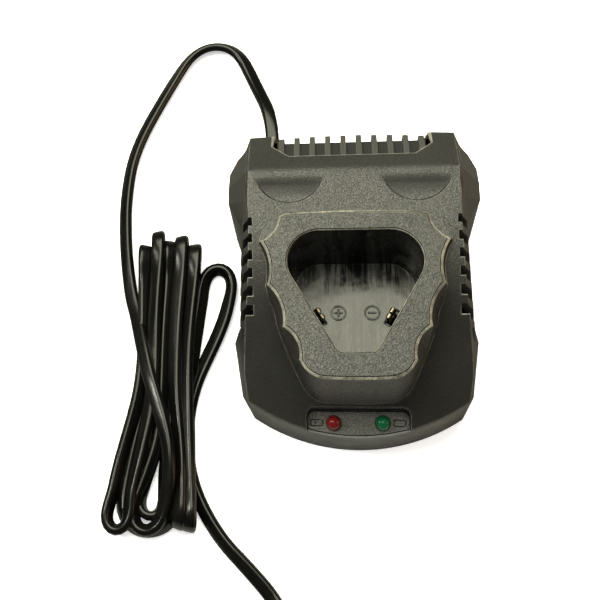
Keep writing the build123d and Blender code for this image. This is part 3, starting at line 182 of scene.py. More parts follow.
# The camera: its place in metres, the directions to its right and behind it, its lens and its shift
CAMERA_PLACE = (-0.0069, -0.1432, 0.450)
CAMERA_RIGHT = (0.98802, 0.03958, -0.14918)
CAMERA_BACK = (0.15256, -0.39711, 0.905)
CAMERA_LENS = 71.18
CAMERA_SHIFT = (0.250, -0.189)


# ---------------------------------------------------------------- settings
def colour_setting(name, description, *default):
    """A colour in a group of settings."""
    return FloatVectorProperty(
        name=name, description=description, subtype="COLOR", size=4, min=0, max=1, default=(*default, 1))


def length_setting(name, description, least, most, default):
    """A length in a group of settings."""
    return FloatProperty(
        name=name, description=description, subtype="DISTANCE", unit="LENGTH", min=least, max=most, default=default)


def power_setting(name, description, default):
    """The power of a light in a group of settings."""
    return FloatProperty(name=name, description=description, unit="POWER", min=0, default=default)


class ChargerFinish(bpy.types.PropertyGroup):
    """Colours and grain of the mouldings"""

    cover_colour: colour_setting("Cover colour", "Base colour of the spark-textured cover", 0.0075, 0.0074, 0.0060)
    tub_colour: colour_setting("Tub colour", "Base colour of the tub and the vent grille", 0.0085, 0.0085, 0.0078)
    well_colour: colour_setting("Well colour", "Base colour of the battery well", 0.0022, 0.0023, 0.0020)
    # The skirt's colour is a painted reflection of the pale floor in front of the charger.
    skirt_reflection_colour: colour_setting("Skirt colour", "Dusty colour of the tub's low front skirt", 0.120, 0.120, 0.115)
    panel_colour: colour_setting("Lamp panel colour", "Base colour of the lamp panel", 0.0600, 0.0600, 0.0500)
    cord_colour: colour_setting("Cord colour", "Base colour of the mains cord", 0.0016, 0.0016, 0.0014)
    red_lens: colour_setting("Red lens", "Tint of the charging lamp", 0.120, 0.008, 0.008)
    green_lens: colour_setting("Green lens", "Tint of the ready lamp", 0.005, 0.085, 0.032)
    grain_size: length_setting("Grain size", "Width of one grain of the cover's texture", 0.0001, 0.003, 0.00060)
    grain_depth: length_setting("Grain depth", "Depth of the cover's texture", 0, 0.001, 0.00016)


class ChargerCord(bpy.types.PropertyGroup):
    """Sizes of the flat two-core cord"""

    corner: length_setting("Corner radius", "Radius of the four corners of the flat sheath", 0.0002, 0.0016, 0.0013)
    step: length_setting("Ring spacing", "Distance between the cord's cross-sections", 0.0005, 0.005, 0.0016)
    relief_ribs: IntProperty(
        name="Relief ribs", description="Number of ribs moulded on the strain relief", min=2, max=16, default=6)


class ChargerStage(bpy.types.PropertyGroup):
    """Floor and lights"""

    floor_colour: colour_setting("Floor colour", "Colour of the pale floor", 0.92, 0.92, 0.92)
    bounce_colour: colour_setting(
        "Bounce colour", "Colour of the light that the floor throws back on the charger", 0.16, 0.155, 0.14)
    front_colour: colour_setting(
        "Front bounce colour", "The same, for the floor in front of the charger", 0.50, 0.50, 0.48)
    floor_glow: FloatProperty(
        name="Floor glow", description="How far the floor's soft shadows are lightened for the camera", min=0,
        default=0.45)
    key_power: power_setting("Key power", "Power of the soft light above and behind", 27.0)
    fill_power: power_setting("Fill power", "Power of the broad light that softens the shadows", 26.0)
    edge_power: power_setting("Edge power", "Power of the small light from the left that picks out the edges", 5.0)
    warm_power: power_setting("Warm power", "Power of the low warm light from the right", 2.0)
    surround: FloatProperty(
        name="Surround", description="Strength of the even light from all round", min=0, default=0.07)


# ---------------------------------------------------------------- node helpers
def feed(tree, socket, value):
    """Gives an input another node's output to follow, or a plain value."""
    if isinstance(value, bpy.types.NodeSocket):
        tree.links.new(value, socket)
    else:
        socket.default_value = value


def set_up(tree, node, **settings):
    """Gives a node its settings and feeds its inputs; an underscore stands for a space in an input's name."""
    for key, value in settings.items():
        label = key.replace("_", " ")
        if label in node.inputs:
            feed(tree, node.inputs[label], value)
        else:
            setattr(node, key, value)
    return node


def add_node(tree, kind, **settings):
    """A new node in a tree, with its settings and what its inputs are fed."""
    return set_up(tree, tree.nodes.new(kind), **settings)


def maths(tree, operation, first, second=None, clamp=False):
    """A Math node; each of its two inputs is a number or a socket."""
    node = add_node(tree, "ShaderNodeMath", operation=operation, use_clamp=clamp)
    feed(tree, node.inputs[0], first)
    if second is not None:
        feed(tree, node.inputs[1], second)
    return node.outputs[0]


def times(tree, product, *others, clamp=False):
    """The product of numbers and sockets, clamped at the last of them if asked for."""
    for left, value in zip(range(len(others), 0, -1), others):
        product = maths(tree, "MULTIPLY", product, value, clamp and left == 1)
    return product


def vector_maths(tree, operation, first, second=(0, 0, 0)):
    """The outputs of a Vector Math node; each of its two inputs is a vector or a socket."""
    node = add_node(tree, "ShaderNodeVectorMath", operation=operation)
    feed(tree, node.inputs[0], first)
    feed(tree, node.inputs[1], second)
    return node.outputs


def blend_colours(tree, factor, first, second):
    """A colour Mix node; every input is a value or a socket."""
    node = add_node(tree, "ShaderNodeMix", data_type="RGBA")
    for slot, value in ((0, factor), (6, first), (7, second)):
        feed(tree, node.inputs[slot], value)
    return node.outputs[2]


def span(tree, value, low, high, to_low=0.0, to_high=1.0):
    """A Map Range node on a socket."""
    node = tree.nodes.new("ShaderNodeMapRange")
    for slot, number in enumerate((value, low, high, to_low, to_high)):
        feed(tree, node.inputs[slot], number)
    return node.outputs[0]


def object_place(tree):
    """The place on the piece, as one vector."""
    return tree.nodes.new("ShaderNodeTexCoord").outputs["Object"]


def split(tree, vector):
    """The X, Y and Z of a vector."""
    return add_node(tree, "ShaderNodeSeparateXYZ", Vector=vector).outputs


def noise(tree, where, scale, detail, roughness=0.5, distortion=0.0):
    """Cloudy noise, about one half in the middle."""
    return add_node(tree, "ShaderNodeTexNoise", Vector=where, Scale=scale, Detail=detail, Roughness=roughness,
                    Distortion=distortion).outputs[0]


def node_group(name, kind, inputs, outputs):
    """A node group with inputs (label, kind of socket, default or None) and outputs (label, kind of socket)."""
    tree = bpy.data.node_groups.new(name, kind)
    for label, socket_kind, default in inputs:
        socket = tree.interface.new_socket(name=label, in_out="INPUT", socket_type="NodeSocket" + socket_kind)
        if default is not None:
            socket.default_value = default
    for label, socket_kind in outputs:
        tree.interface.new_socket(name=label, in_out="OUTPUT", socket_type="NodeSocket" + socket_kind)
    return tree, tree.nodes.new("NodeGroupInput").outputs, tree.nodes.new("NodeGroupOutput").inputs


def grain_group():
    """Pebbled mould texture: its height, and a speckle of random tone that is lighter on the tops, a painted glint on
    each grain.
    """
    tree, given, out = node_group(
        "Mould grain", "ShaderNodeTree", (("Size", "Float", 0.0005), ("Speckle", "Float", 1.0)),
        (("Height", "Float"), ("Speckle", "Float")))
    where = object_place(tree)
    scale = maths(tree, "DIVIDE", 1.0, given["Size"])
    pebbles = add_node(tree, "ShaderNodeTexVoronoi", feature="SMOOTH_F1", Smoothness=0.6, Randomness=1.0,
                       Vector=where, Scale=scale)
    rough = noise(tree, where, scale, 2.0, 0.65)
    bumps = maths(tree, "SUBTRACT", 1.0, pebbles.outputs["Distance"])
    feed(tree, out["Height"], maths(tree, "ADD", times(tree, bumps, 0.45), times(tree, rough, 0.75)))
    spread = times(tree, maths(tree, "SUBTRACT", rough, 0.5), given["Speckle"])
    feed(tree, out["Speckle"], maths(tree, "ADD", spread, 0.5, clamp=True))
    return tree


def edge_group():
    """Softened edges: the rounded normal, and a mask that is one on an edge, which rubbing by use and a painted
    highlight make pale.
    """
    tree, given, out = node_group(
        "Rubbed edges", "ShaderNodeTree", (("Radius", "Float", 0.0004), ("Amount", "Float", 0.6)),
        (("Normal", "Vector"), ("Mask", "Float")))
    bevel = add_node(tree, "ShaderNodeBevel", samples=6, Radius=given["Radius"]).outputs[0]
    facing = tree.nodes.new("ShaderNodeNewGeometry").outputs["Normal"]
    edge = span(tree, vector_maths(tree, "DOT_PRODUCT", bevel, facing)["Value"], 0.99, 0.80)
    broken = span(tree, noise(tree, object_place(tree), 220.0, 3.0, 0.6), 0.35, 0.65, 0.25, 1.0)
    feed(tree, out["Mask"], times(tree, edge, broken, given["Amount"], clamp=True))
    feed(tree, out["Normal"], bevel)
    return tree


def scuff_group():
    """Fine sliding marks along one axis, and the cloudy film that handling leaves."""
    tree, given, out = node_group(
        "Scuffs and film", "ShaderNodeTree",
        (("Stretch", "Vector", None), ("Marks", "Float", 0.5), ("Film", "Float", 0.5)),
        (("Marks", "Float"), ("Film", "Float")))
    where = object_place(tree)
    along = vector_maths(tree, "MULTIPLY", where, given["Stretch"])[0]
    marks = span(tree, noise(tree, along, 1.0, 4.0, 0.7, 0.3), 0.60, 0.72)
    film = span(tree, noise(tree, where, 55.0, 5.0, 0.62), 0.38, 0.66)
    feed(tree, out["Marks"], times(tree, marks, given["Marks"], clamp=True))
    feed(tree, out["Film"], times(tree, film, given["Film"], clamp=True))
    return tree


GROUPS = {}


def group_node(tree, name, **inputs):
    """The outputs of a group in a material; the group is built the first time that it is asked for."""
    makers = {"grain": grain_group, "edges": edge_group, "scuffs": scuff_group}
    if name not in GROUPS:
        GROUPS[name] = makers[name]()
    return add_node(tree, "ShaderNodeGroup", node_tree=GROUPS[name], **inputs).outputs


def blank_material(name, base, roughness, **more):
    """A material with its Principled shader, base colour and roughness."""
    material = bpy.data.materials.new(name)
    material.use_nodes = True
    material.diffuse_color = base
    tree = material.node_tree
    shader = set_up(tree, tree.nodes["Principled BSDF"], Base_Color=base, Roughness=roughness, **more)
    return material, tree, shader


def lighter(colour, amount):
    """A colour moved towards a pale warm grey."""
    return tuple(c + (w - c) * amount for c, w in zip(colour[:3], (0.42, 0.41, 0.36))) + (1.0,)


def scaled(colour, factor):
    """A colour made brighter or darker."""
    return tuple(min(1.0, c * factor) for c in colour[:3]) + (1.0,)


def moulded(name, base, roughness, grain, depth, speckle=0.6, edge_wear_and_highlight=0.5, marks=0.3, film=0.4,
            stretch=PLAIN_STRETCH, edge=0.0004, patchy=0.06, tones=(0.012, 0.06, 0.30), **more):
    """A moulding: grain, colour speckle that paints glints on the grain tops, and in these three tones cloudy film,
    sliding marks and edges made pale both by rubbing and by a painted highlight.
    """
    base = tuple(base)
    material, tree, shader = blank_material(name, base, roughness, **more)
    texture = group_node(tree, "grain", Size=grain, Speckle=speckle)
    edges = group_node(tree, "edges", Radius=edge, Amount=edge_wear_and_highlight)
    scuffs = group_node(tree, "scuffs", Stretch=stretch, Marks=marks, Film=film)
    # The speckle colours the grain: random tone, and painted glints that are lighter on the grain tops.
    colour = blend_colours(tree, texture["Speckle"], scaled(base, 0.55), scaled(base, 1.55))
    # The edges' tone is partly rubbing by use and partly a painted highlight.
    for mask, tone in zip((scuffs["Film"], scuffs["Marks"], edges["Mask"]), tones):
        colour = blend_colours(tree, mask, colour, lighter(base, tone))
    rough = span(tree, texture["Speckle"], 0.0, 1.0, roughness + patchy, roughness - patchy)
    rough = maths(tree, "ADD", rough, times(tree, scuffs["Film"], 0.16))
    rough = maths(tree, "ADD", rough, times(tree, scuffs["Marks"], 0.12))
    rough = maths(tree, "SUBTRACT", rough, times(tree, edges["Mask"], 0.12), clamp=True)
    bump = add_node(tree, "ShaderNodeBump", Strength=1.0, Distance=depth, Height=texture["Height"],
                    Normal=edges["Normal"])
    set_up(tree, shader, Base_Color=colour, Roughness=rough, Normal=bump.outputs[0])
    return material


def band(tree, value, low, high, soft):
    """One between two values, zero outside them, with soft ends."""
    return times(tree, span(tree, value, low - soft, low), span(tree, value, high, high + soft, 1.0, 0.0))


class Places:
    """The place on the piece: the whole vector, its X, Y and Z, and its distance from the middle plane."""

    def __init__(self, tree):
        self.where = object_place(tree)
        self.x, self.y, self.z = split(tree, self.where)
        self.side = maths(tree, "ABSOLUTE", self.x)


def patches(tree, where, scale, least):
    """Uneven cover of a finish, from its least amount up to one."""
    return span(tree, noise(tree, where, scale, 4.0, 0.6), 0.30, 0.60, least, 1.0)


def tint(tree, mask, colour, roughness=None):
    """Lays a colour, and a roughness, over what the material already has where the mask is one."""
    inputs = tree.nodes["Principled BSDF"].inputs
    before = inputs["Base Color"].links[0].from_socket
    feed(tree, inputs["Base Color"], blend_colours(tree, mask, before, colour))
    if roughness is not None:
        before = inputs["Roughness"].links[0].from_socket
        change = times(tree, mask, maths(tree, "SUBTRACT", roughness, before))
        feed(tree, inputs["Roughness"], maths(tree, "ADD", before, change))


def bump_start(tree):
    """The input of a moulding's Bump node that takes the normal it starts from, and what feeds it."""
    start = tree.nodes["Principled BSDF"].inputs["Normal"].links[0].from_node.inputs["Normal"]
    return start, start.links[0].from_socket


def upward(tree):
    """One on faces that look up, zero on walls."""
    normal = tree.nodes.new("ShaderNodeNewGeometry").outputs["True Normal"]
    return span(tree, split(tree, normal)["Z"], 0.15, 0.30)


def painted_skirt_reflection(material, colour):
    """Lightens the tub's low front skirt in patches: a painted reflection of the pale floor in front of it."""
    tree = material.node_tree
    at = Places(tree)
    low = span(tree, at.z, 0.030, 0.027)
    front = span(tree, at.y, -0.040, -0.048)
    tint(tree, times(tree, low, front, patches(tree, at.where, 180.0, 0.55)), colour)


def soft_crease(material, radius):
    """Rounds the crease behind the flat top, and the rear ends of the thumb scoops that run out into it."""
    tree = material.node_tree
    at = Places(tree)
    mask = times(tree, band(tree, at.y, *CREASE_BAND, 0.0012), span(tree, at.side, 0.0362, 0.0350))
    start, narrow = bump_start(tree)
    broad = add_node(tree, "ShaderNodeBevel", samples=12, Radius=radius).outputs[0]
    both = add_node(tree, "ShaderNodeMix", data_type="VECTOR")
    for slot, socket in ((0, mask), (4, narrow), (5, broad)):
        feed(tree, both.inputs[slot], socket)
    feed(tree, start, vector_maths(tree, "NORMALIZE", both.outputs[1])[0])
    # The crease gets no pale edge line, neither rubbing nor painted highlight.
    amount = narrow.node.inputs["Amount"]
    feed(tree, amount, times(tree, maths(tree, "SUBTRACT", 1.0, mask), amount.default_value))


def painted_scoop_shade(material):
    """Paints shade into the thumb scoops, darker more and more towards their rear ends, and makes them rougher there.
    """
    tree = material.node_tree
    at = Places(tree)
    below = span(tree, at.z, FLAT_TOP_Z - 0.00006, FLAT_TOP_Z - 0.00022)
    rearward = times(tree, span(tree, at.y, 0.0235, 0.0292, 0.0, 0.9), span(tree, at.y, 0.0327, 0.0298))
    # Painted shade: dark colour towards the scoops' rear ends.
    tint(tree, times(tree, below, rearward), (0.0030, 0.0030, 0.0026, 1), 0.74)


def rim_wear_highlight_and_shade(material, colour):
    """Pales the bevel round the turret's rim in patches, by rubbing and as a painted highlight, and darkens the small
    step inside it with painted shade.
    """
    tree = material.node_tree
    at = Places(tree)
    bevel = times(tree, band(tree, at.z, 0.05780, 0.05872, 0.00004), upward(tree))
    rubbed_and_lit = times(tree, patches(tree, at.where, 420.0, 0.30), patches(tree, at.where, 90.0, 0.25))
    tint(tree, times(tree, bevel, rubbed_and_lit), colour)
    # Painted shade in the small step.
    tint(tree, band(tree, at.z, 0.05874, 0.05896, 0.00003), (0.001, 0.001, 0.001, 1), 0.95)


def notch_wear_and_highlight(material, colour):
    """Pales the broken edge round the rear notch in patches: rubbing by use and a painted highlight on its chamfer.
    """
    tree = material.node_tree
    at = Places(tree)
    ahead = maths(tree, "SUBTRACT", NOTCH_FRONT_Y, at.y)
    aside = times(tree, maths(tree, "SUBTRACT", at.side, NOTCH_FRONT_HALF), 0.656)
    aslant = maths(tree, "ADD", aside, times(tree, ahead, 0.755))
    beside = maths(tree, "SUBTRACT", at.side, NOTCH_REAR_HALF)
    out = maths(tree, "MAXIMUM", maths(tree, "MAXIMUM", ahead, aslant), beside)
    mask = times(tree, span(tree, out, 0.00062, 0.00052), upward(tree), span(tree, at.z, 0.030, 0.031),
                 patches(tree, at.where, 420.0, 0.55))
    tint(tree, mask, colour)


def painted_recess_shade(material):
    """Darkens all of the lamp panel that isn't its face, the tray's walls and the engraved lines, with painted shade.
    """
    tree = material.node_tree
    at = Places(tree)
    forward = maths(tree, "SUBTRACT", at.y, PANEL_REAR[0])
    face = maths(tree, "ADD", times(tree, forward, PANEL_SLOPE), PANEL_REAR[1])
    off = maths(tree, "ABSOLUTE", maths(tree, "SUBTRACT", at.z, face))
    tint(tree, span(tree, off, 0.00005, 0.00009), (0.0015, 0.0015, 0.0015, 1), 0.95)


def painted_shade_between_fins(material):
    """Darkens the grille between its fins with painted shade, where light doesn't reach."""
    tree = material.node_tree
    turns = maths(tree, "ADD", maths(tree, "DIVIDE", Places(tree).x, FIN_PITCH), 0.5)
    apart = times(tree, maths(tree, "PINGPONG", turns, 0.5), FIN_PITCH)
    tint(tree, span(tree, apart, 0.00098, 0.00112), (0.0035, 0.0035, 0.0032, 1), 0.75)


def wiped_floor(material, colour):
    """Leaves dull streaks on the well's floor, from the packs that slide in and out."""
    tree = material.node_tree
    where = object_place(tree)
    along = vector_maths(tree, "MULTIPLY", where, (620.0, 45.0, 45.0))[0]
    lines = span(tree, noise(tree, along, 1.0, 5.0, 0.65, 0.5), 0.44, 0.66)
    tint(tree, times(tree, lines, patches(tree, where, 70.0, 0.0), upward(tree)), colour, 0.42)


def slow_waves(material, size, depth):
    """Puts slow waves under the fine texture, as on the flats of a thin moulding."""
    tree = material.node_tree
    start, before = bump_start(tree)
    slow = add_node(tree, "ShaderNodeBump", Strength=1.0, Distance=depth,
                    Height=noise(tree, object_place(tree), 1.0 / size, 1.5), Normal=before)
    feed(tree, start, slow.outputs[0])


def metal(name, base, roughness, stretch, tarnish=(0.2, 0.16, 0.1, 1), film=0.4):
    """Bare or plated metal with drawn lines and a patchy tarnish."""
    material, tree, shader = blank_material(name, base, roughness, Metallic=1.0)
    scuffs = group_node(tree, "scuffs", Stretch=stretch, Marks=0.5, Film=film)
    edges = group_node(tree, "edges", Radius=0.00015)
    colour = blend_colours(tree, scuffs["Film"], base, tarnish)
    # Brighter edges: rubbing by use and a painted highlight.
    colour = blend_colours(tree, edges["Mask"], colour, scaled(base, 1.15))
    rough = maths(tree, "ADD", roughness, times(tree, scuffs["Marks"], 0.18))
    rough = maths(tree, "ADD", rough, times(tree, scuffs["Film"], 0.12), clamp=True)
    bump = add_node(tree, "ShaderNodeBump", Strength=0.35, Distance=0.00003, Height=scuffs["Marks"],
                    Normal=edges["Normal"])
    set_up(tree, shader, Base_Color=colour, Roughness=rough, Normal=bump.outputs[0])
    return material


def lens(name, colour):
    """Deeply tinted resin, darker towards its rim with painted shade where it turns from the view, and with the faint
    haze of its moulding.
    """
    colour = tuple(colour)
    material, tree, shader = blank_material(name, colour, 0.12, Specular_IOR_Level=0.32)
    scuffs = group_node(tree, "scuffs", Stretch=(300, 300, 300), Marks=0.2, Film=0.4)
    # Painted shade: the lens darkens towards its rim as it turns away from the view.
    rim = add_node(tree, "ShaderNodeLayerWeight", Blend=0.42).outputs["Facing"]
    shade = blend_colours(tree, rim, colour, scaled(colour, 0.30))
    feed(tree, shader.inputs["Base Color"], blend_colours(tree, scuffs["Film"], shade, colour))
    return material


def dress(node, material):
    """Gives a carried-over node its material in every slot."""
    thing = NODES[node]
    if not thing.data.materials:
        thing.data.materials.append(material)
    for slot in thing.material_slots:
        slot.material = material


# ---------------------------------------------------------------- mesh helpers
def put(name, data):
    """A new object in the scene."""
    thing = bpy.data.objects.new(name, data)
    bpy.context.scene.collection.objects.link(thing)
    return thing


def taken_from(helper):
    """The mesh that a helper's curve or modifiers make; the helper goes."""
    bpy.context.view_layer.update()
    mesh = bpy.data.meshes.new_from_object(helper.evaluated_get(bpy.context.evaluated_depsgraph_get()))
    bpy.data.objects.remove(helper)
    return mesh


def mesh_object(name, mesh, material, body, replaced=()):
    """A finished piece at the origin that rides on a body, with the nodes that it replaces hidden."""
    thing = put(name, mesh)
    mesh.materials.clear()
    mesh.materials.append(material)
    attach(thing, body)
    if replaced:
        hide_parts(*replaced)
    return thing


def mesh_from(name, corners, faces):
    """A smooth mesh with outward faces from points and faces."""
    mesh = bpy.data.meshes.new(name)
    mesh.from_pydata([tuple(c) for c in corners], [], faces)
    work = bmesh.new()
    work.from_mesh(mesh)
    bmesh.ops.remove_doubles(work, verts=work.verts, dist=1e-7)
    bmesh.ops.recalc_face_normals(work, faces=work.faces)
    for face in work.faces:
        face.smooth = True
    work.to_mesh(mesh)
    work.free()
    return mesh


def ring_faces(rings, count):
    """The faces between rings of points that follow each other, and those that fill the two ends."""
    faces = []
    for i in range(rings - 1):
        for j in range(count):
            k = (j + 1) % count
            faces.append((i * count + j, i * count + k, (i + 1) * count + k, (i + 1) * count + j))
    return faces + [tuple(range(count)), tuple((rings - 1) * count + j for j in range(count))]


def strip_corners(path, low, high, thickness):
    """Corners and faces of a closed strip: its path is in the plane of the first and third axis."""
    corners = []
    for i, (t, z) in enumerate(path):
        before, after = path[max(0, i - 1)], path[min(len(path) - 1, i + 1)]
        ahead = Vector((after[0] - before[0], after[1] - before[1])).normalized()
        side = Vector((-ahead.y, ahead.x)) * thickness / 2
        corners += [(t + side.x, low, z + side.y), (t - side.x, low, z - side.y),
                    (t - side.x, high, z - side.y), (t + side.x, high, z + side.y)]
    return corners, ring_faces(len(path), 4)


def ring_mesh(name, rings):
    """A closed body of rings with the same number of points, one after the other."""
    return mesh_from(name, [point for ring in rings for point in ring], ring_faces(len(rings), len(rings[0])))


# ---------------------------------------------------------------- repeats
def repeat_group(name, inputs):
    """A Geometry Nodes group that takes geometry, these inputs and a material, and gives geometry."""
    inputs = (("Geometry", "Geometry", None), *inputs, ("Material", "Material", None))
    tree, given, out = node_group(name, "GeometryNodeTree", inputs, (("Geometry", "Geometry"),))
    tree.is_modifier = True
    return tree, given, out


def finish_repeat(tree, given, out, instances):
    """Turns the instances into real, smooth geometry with the group's material."""
    real = add_node(tree, "GeometryNodeRealizeInstances", Geometry=instances)
    smooth = add_node(tree, "GeometryNodeSetShadeSmooth", Geometry=real.outputs[0])
    coat = add_node(tree, "GeometryNodeSetMaterial", Geometry=smooth.outputs[0], Material=given["Material"])
    feed(tree, out[0], coat.outputs[0])


def baked(name, start, tree, values):
    """The mesh that a Geometry Nodes group makes from a starting mesh and the values of its inputs."""
    holder = put(name, start)
    maker = holder.modifiers.new("make", "NODES")
    maker.node_group = tree
    for item in tree.interface.items_tree:
        if item.item_type == "SOCKET" and item.in_out == "INPUT" and item.name in values:
            maker[item.identifier] = values[item.name]
    mesh = taken_from(holder)
    mesh.name = name
    return mesh


def screw_group():
    """Places a screw on every point, each turned by its own amount, heads up or down."""
    tree, given, out = repeat_group("Screw set", (
        ("Screw", "Object", None), ("Upside down", "Float", 0.0), ("Seed", "Int", 3)))
    info = add_node(tree, "GeometryNodeObjectInfo", Object=given["Screw"])
    turn = add_node(tree, "FunctionNodeRandomValue", data_type="FLOAT", Seed=given["Seed"])
    turn.inputs[3].default_value = 6.2832
    angles = add_node(tree, "ShaderNodeCombineXYZ", X=times(tree, given["Upside down"], math.pi), Z=turn.outputs[1])
    place = add_node(tree, "GeometryNodeInstanceOnPoints", Points=given["Geometry"],
                     Instance=info.outputs["Geometry"], Rotation=angles.outputs[0])
    finish_repeat(tree, given, out, place.outputs[0])
    return tree


def screw_mesh(head, head_height, shank, length):
    """Pan-head screw with a cross recess and a pointed, threaded shank; its seat is at zero, its head up."""
    count = 48
    turns = [2 * math.pi * i / count for i in range(count)]

    def circle(radius, z):
        return [(radius * math.cos(a), radius * math.sin(a), z) for a in turns]

    def cross(size, z):
        points = []
        for a in turns:
            lean = (a + math.pi / 4) % (math.pi / 2) - math.pi / 4
            reach = min(0.62 * size / math.cos(lean), 0.20 * size / max(abs(math.sin(lean)), 1e-6))
            points.append((reach * math.cos(a), reach * math.sin(a), z))
        return points

    top = head_height
    rings = [cross(head * 0.55, top * 0.30), cross(head, top * 0.55), cross(head, top), circle(head * 0.80, top),
             circle(head * 0.93, top * 0.88), circle(head, top * 0.62), circle(head, top * 0.06),
             circle(head * 0.97, 0.0), circle(shank, 0.0)]
    pitch, depth = shank * 0.62, 0.0
    while depth + pitch < length - 1.2 * shank:
        rings.append(circle(shank * 0.76, -depth - pitch * 0.35))
        rings.append(circle(shank, -depth - pitch * 0.80))
        depth += pitch
    rings.append(circle(shank * 0.72, -length + shank))
    rings.append(circle(shank * 0.10, -length))
    return ring_mesh("screw", rings)


def rib_group():
    """Oblong ribs in a row that shrink towards the thin end of a sleeve."""
    tree, given, out = repeat_group("Relief ribs", (
        ("Count", "Int", 6), ("Start", "Vector", None), ("Step", "Vector", None), ("Width", "Float", 0.0084),
        ("Height", "Float", 0.0063), ("Bead", "Float", 0.0005), ("Last scale", "Float", 0.8)))
    row = add_node(tree, "GeometryNodeMeshLine", mode="OFFSET", Count=given["Count"], Start_Location=given["Start"],
                   Offset=given["Step"])
    box = add_node(tree, "GeometryNodeCurvePrimitiveQuadrilateral", Width=given["Width"], Height=given["Height"])
    oblong = add_node(tree, "GeometryNodeFilletCurve", mode="POLY", Count=8, Limit_Radius=True, Curve=box.outputs[0],
                      Radius=times(tree, given["Height"], 0.499))
    bead = add_node(tree, "GeometryNodeCurvePrimitiveCircle", Resolution=10, Radius=given["Bead"])
    rib = add_node(tree, "GeometryNodeCurveToMesh", Curve=oblong.outputs[0], Profile_Curve=bead.outputs[0])
    number = tree.nodes.new("GeometryNodeInputIndex").outputs[0]
    share = maths(tree, "DIVIDE", number, maths(tree, "SUBTRACT", given["Count"], 1.0))
    shrink = times(tree, share, maths(tree, "SUBTRACT", given["Last scale"], 1.0))
    place = add_node(tree, "GeometryNodeInstanceOnPoints", Rotation=(math.pi / 2, 0, 0), Points=row.outputs[0],
                     Instance=rib.outputs[0], Scale=maths(tree, "ADD", shrink, 1.0))
    finish_repeat(tree, given, out, place.outputs[0])
    return tree


# ---------------------------------------------------------------- the cord
def cord_line():
    """Points along the middle of the cord, read from one NURBS spline through its route."""
    curve = bpy.data.curves.new("cord_line", "CURVE")
    curve.dimensions = "3D"
    curve.resolution_u = 10
    spline = curve.splines.new("NURBS")
    spline.points.add(len(CORD_ROUTE) - 1)
    for point, place in zip(spline.points, CORD_ROUTE):
        point.co = (*place, 1.0)
    spline.order_u = 3
    spline.use_endpoint_u = True
    mesh = taken_from(put("cord_line", curve))
    points = [v.co.copy() for v in mesh.vertices]
    bpy.data.meshes.remove(mesh)
    bpy.data.curves.remove(curve)
    return points


def even_points(points, step):
    """The same line, with its points an even step apart."""
    lengths = [0.0]
    for a, b in zip(points, points[1:]):
        lengths.append(lengths[-1] + (b - a).length)
    count = max(2, round(lengths[-1] / step))
    line, segment = [], 0
    for i in range(count + 1):
        goal = lengths[-1] * i / count
        while segment < len(points) - 2 and lengths[segment + 1] < goal:
            segment += 1
        part = lengths[segment + 1] - lengths[segment]
        share = (goal - lengths[segment]) / part if part > 1e-12 else 0.0
        line.append(points[segment].lerp(points[segment + 1], min(1.0, share)))
    return line, lengths[-1]


def tight_folds(line, limit):
    """The tightest point of each place where the line bends within a radius."""
    straight, same_fold = 9.0, 6
    radii = [straight]
    for a, b, c in zip(line, line[1:], line[2:]):
        area = (b - a).cross(c - a).length / 2
        sides = (a - b).length * (b - c).length * (c - a).length
        radii.append(sides / (4 * area) if area > 1e-12 else straight)
    groups = []
    for i, radius in enumerate(radii):
        if radius < limit:
            if groups and i - groups[-1][-1] <= same_fold:
                groups[-1].append(i)
            else:
                groups.append([i])
    return [min(group, key=lambda i: radii[i]) for group in groups]


def open_folds(line, step):
    """The same line at the same length, with its tight folds opened as a stiff sheath opens them: the bending
    spreads along each fold, while its points keep their distance."""
    reach = round(FOLD_REACH / step)
    for middle in tight_folds(line, FOLD_LIMIT):
        low, high = max(2, middle - reach), min(len(line) - 3, middle + reach)
        for _ in range(FOLD_ROUNDS):
            old = [p.copy() for p in line[low - 2:high + 3]]
            for i in range(low, high + 1):
                a, b, c, d, e = old[i - low:i - low + 5]
                line[i] = c - (a - b * 4 + c * 6 - d * 4 + e) * FOLD_EASE
            for _ in range(LENGTH_ROUNDS):
                for i in range(low - 1, high + 1):
                    apart = line[i + 1] - line[i]
                    apart *= (apart.length - step) / apart.length
                    share = 0.0 if i == low - 1 else 1.0 if i == high else 0.5
                    if i >= low:
                        line[i] = line[i] + apart * share
                    if i < high:
                        line[i + 1] = line[i + 1] - apart * (1 - share)
            for i in range(low, high + 1):
                line[i].z = max(line[i].z, FOLD_LEAST_Z)
    return line


def ease(value, low, high):
    """Zero below the low value, one above the high value, straight in between."""
    return min(1.0, max(0.0, (value - low) / (high - low)))


def stretch(distance, *ends):
    """One along a stretch of the cord, zero outside it: where it starts, is full, starts to fade, and ends."""
    return ease(distance, *ends[:2]) * (1 - ease(distance, *ends[2:]))


def lazy_roll(distance, length):
    """How far the flat side leans over, in radians, a distance along the cord: steadily on the way to the hank
    and from it to the plug, and this way and that inside it."""
    lead = stretch(distance, 0.006, 0.022, 0.17, 0.21)
    tail = stretch(distance, length - 0.17, length - 0.14, length - 0.07, length - 0.04)
    inside = stretch(distance, 0.19, 0.23, length - 0.20, length - 0.16)
    waves = 0.16 * math.sin(distance * 43.0), 0.09 * math.sin(distance * 97.0 + 1.3)
    return OUTER_LEAN * lead + OUTER_LEAN * tail + inside * (INNER_LEAN + waves[0] + waves[1])


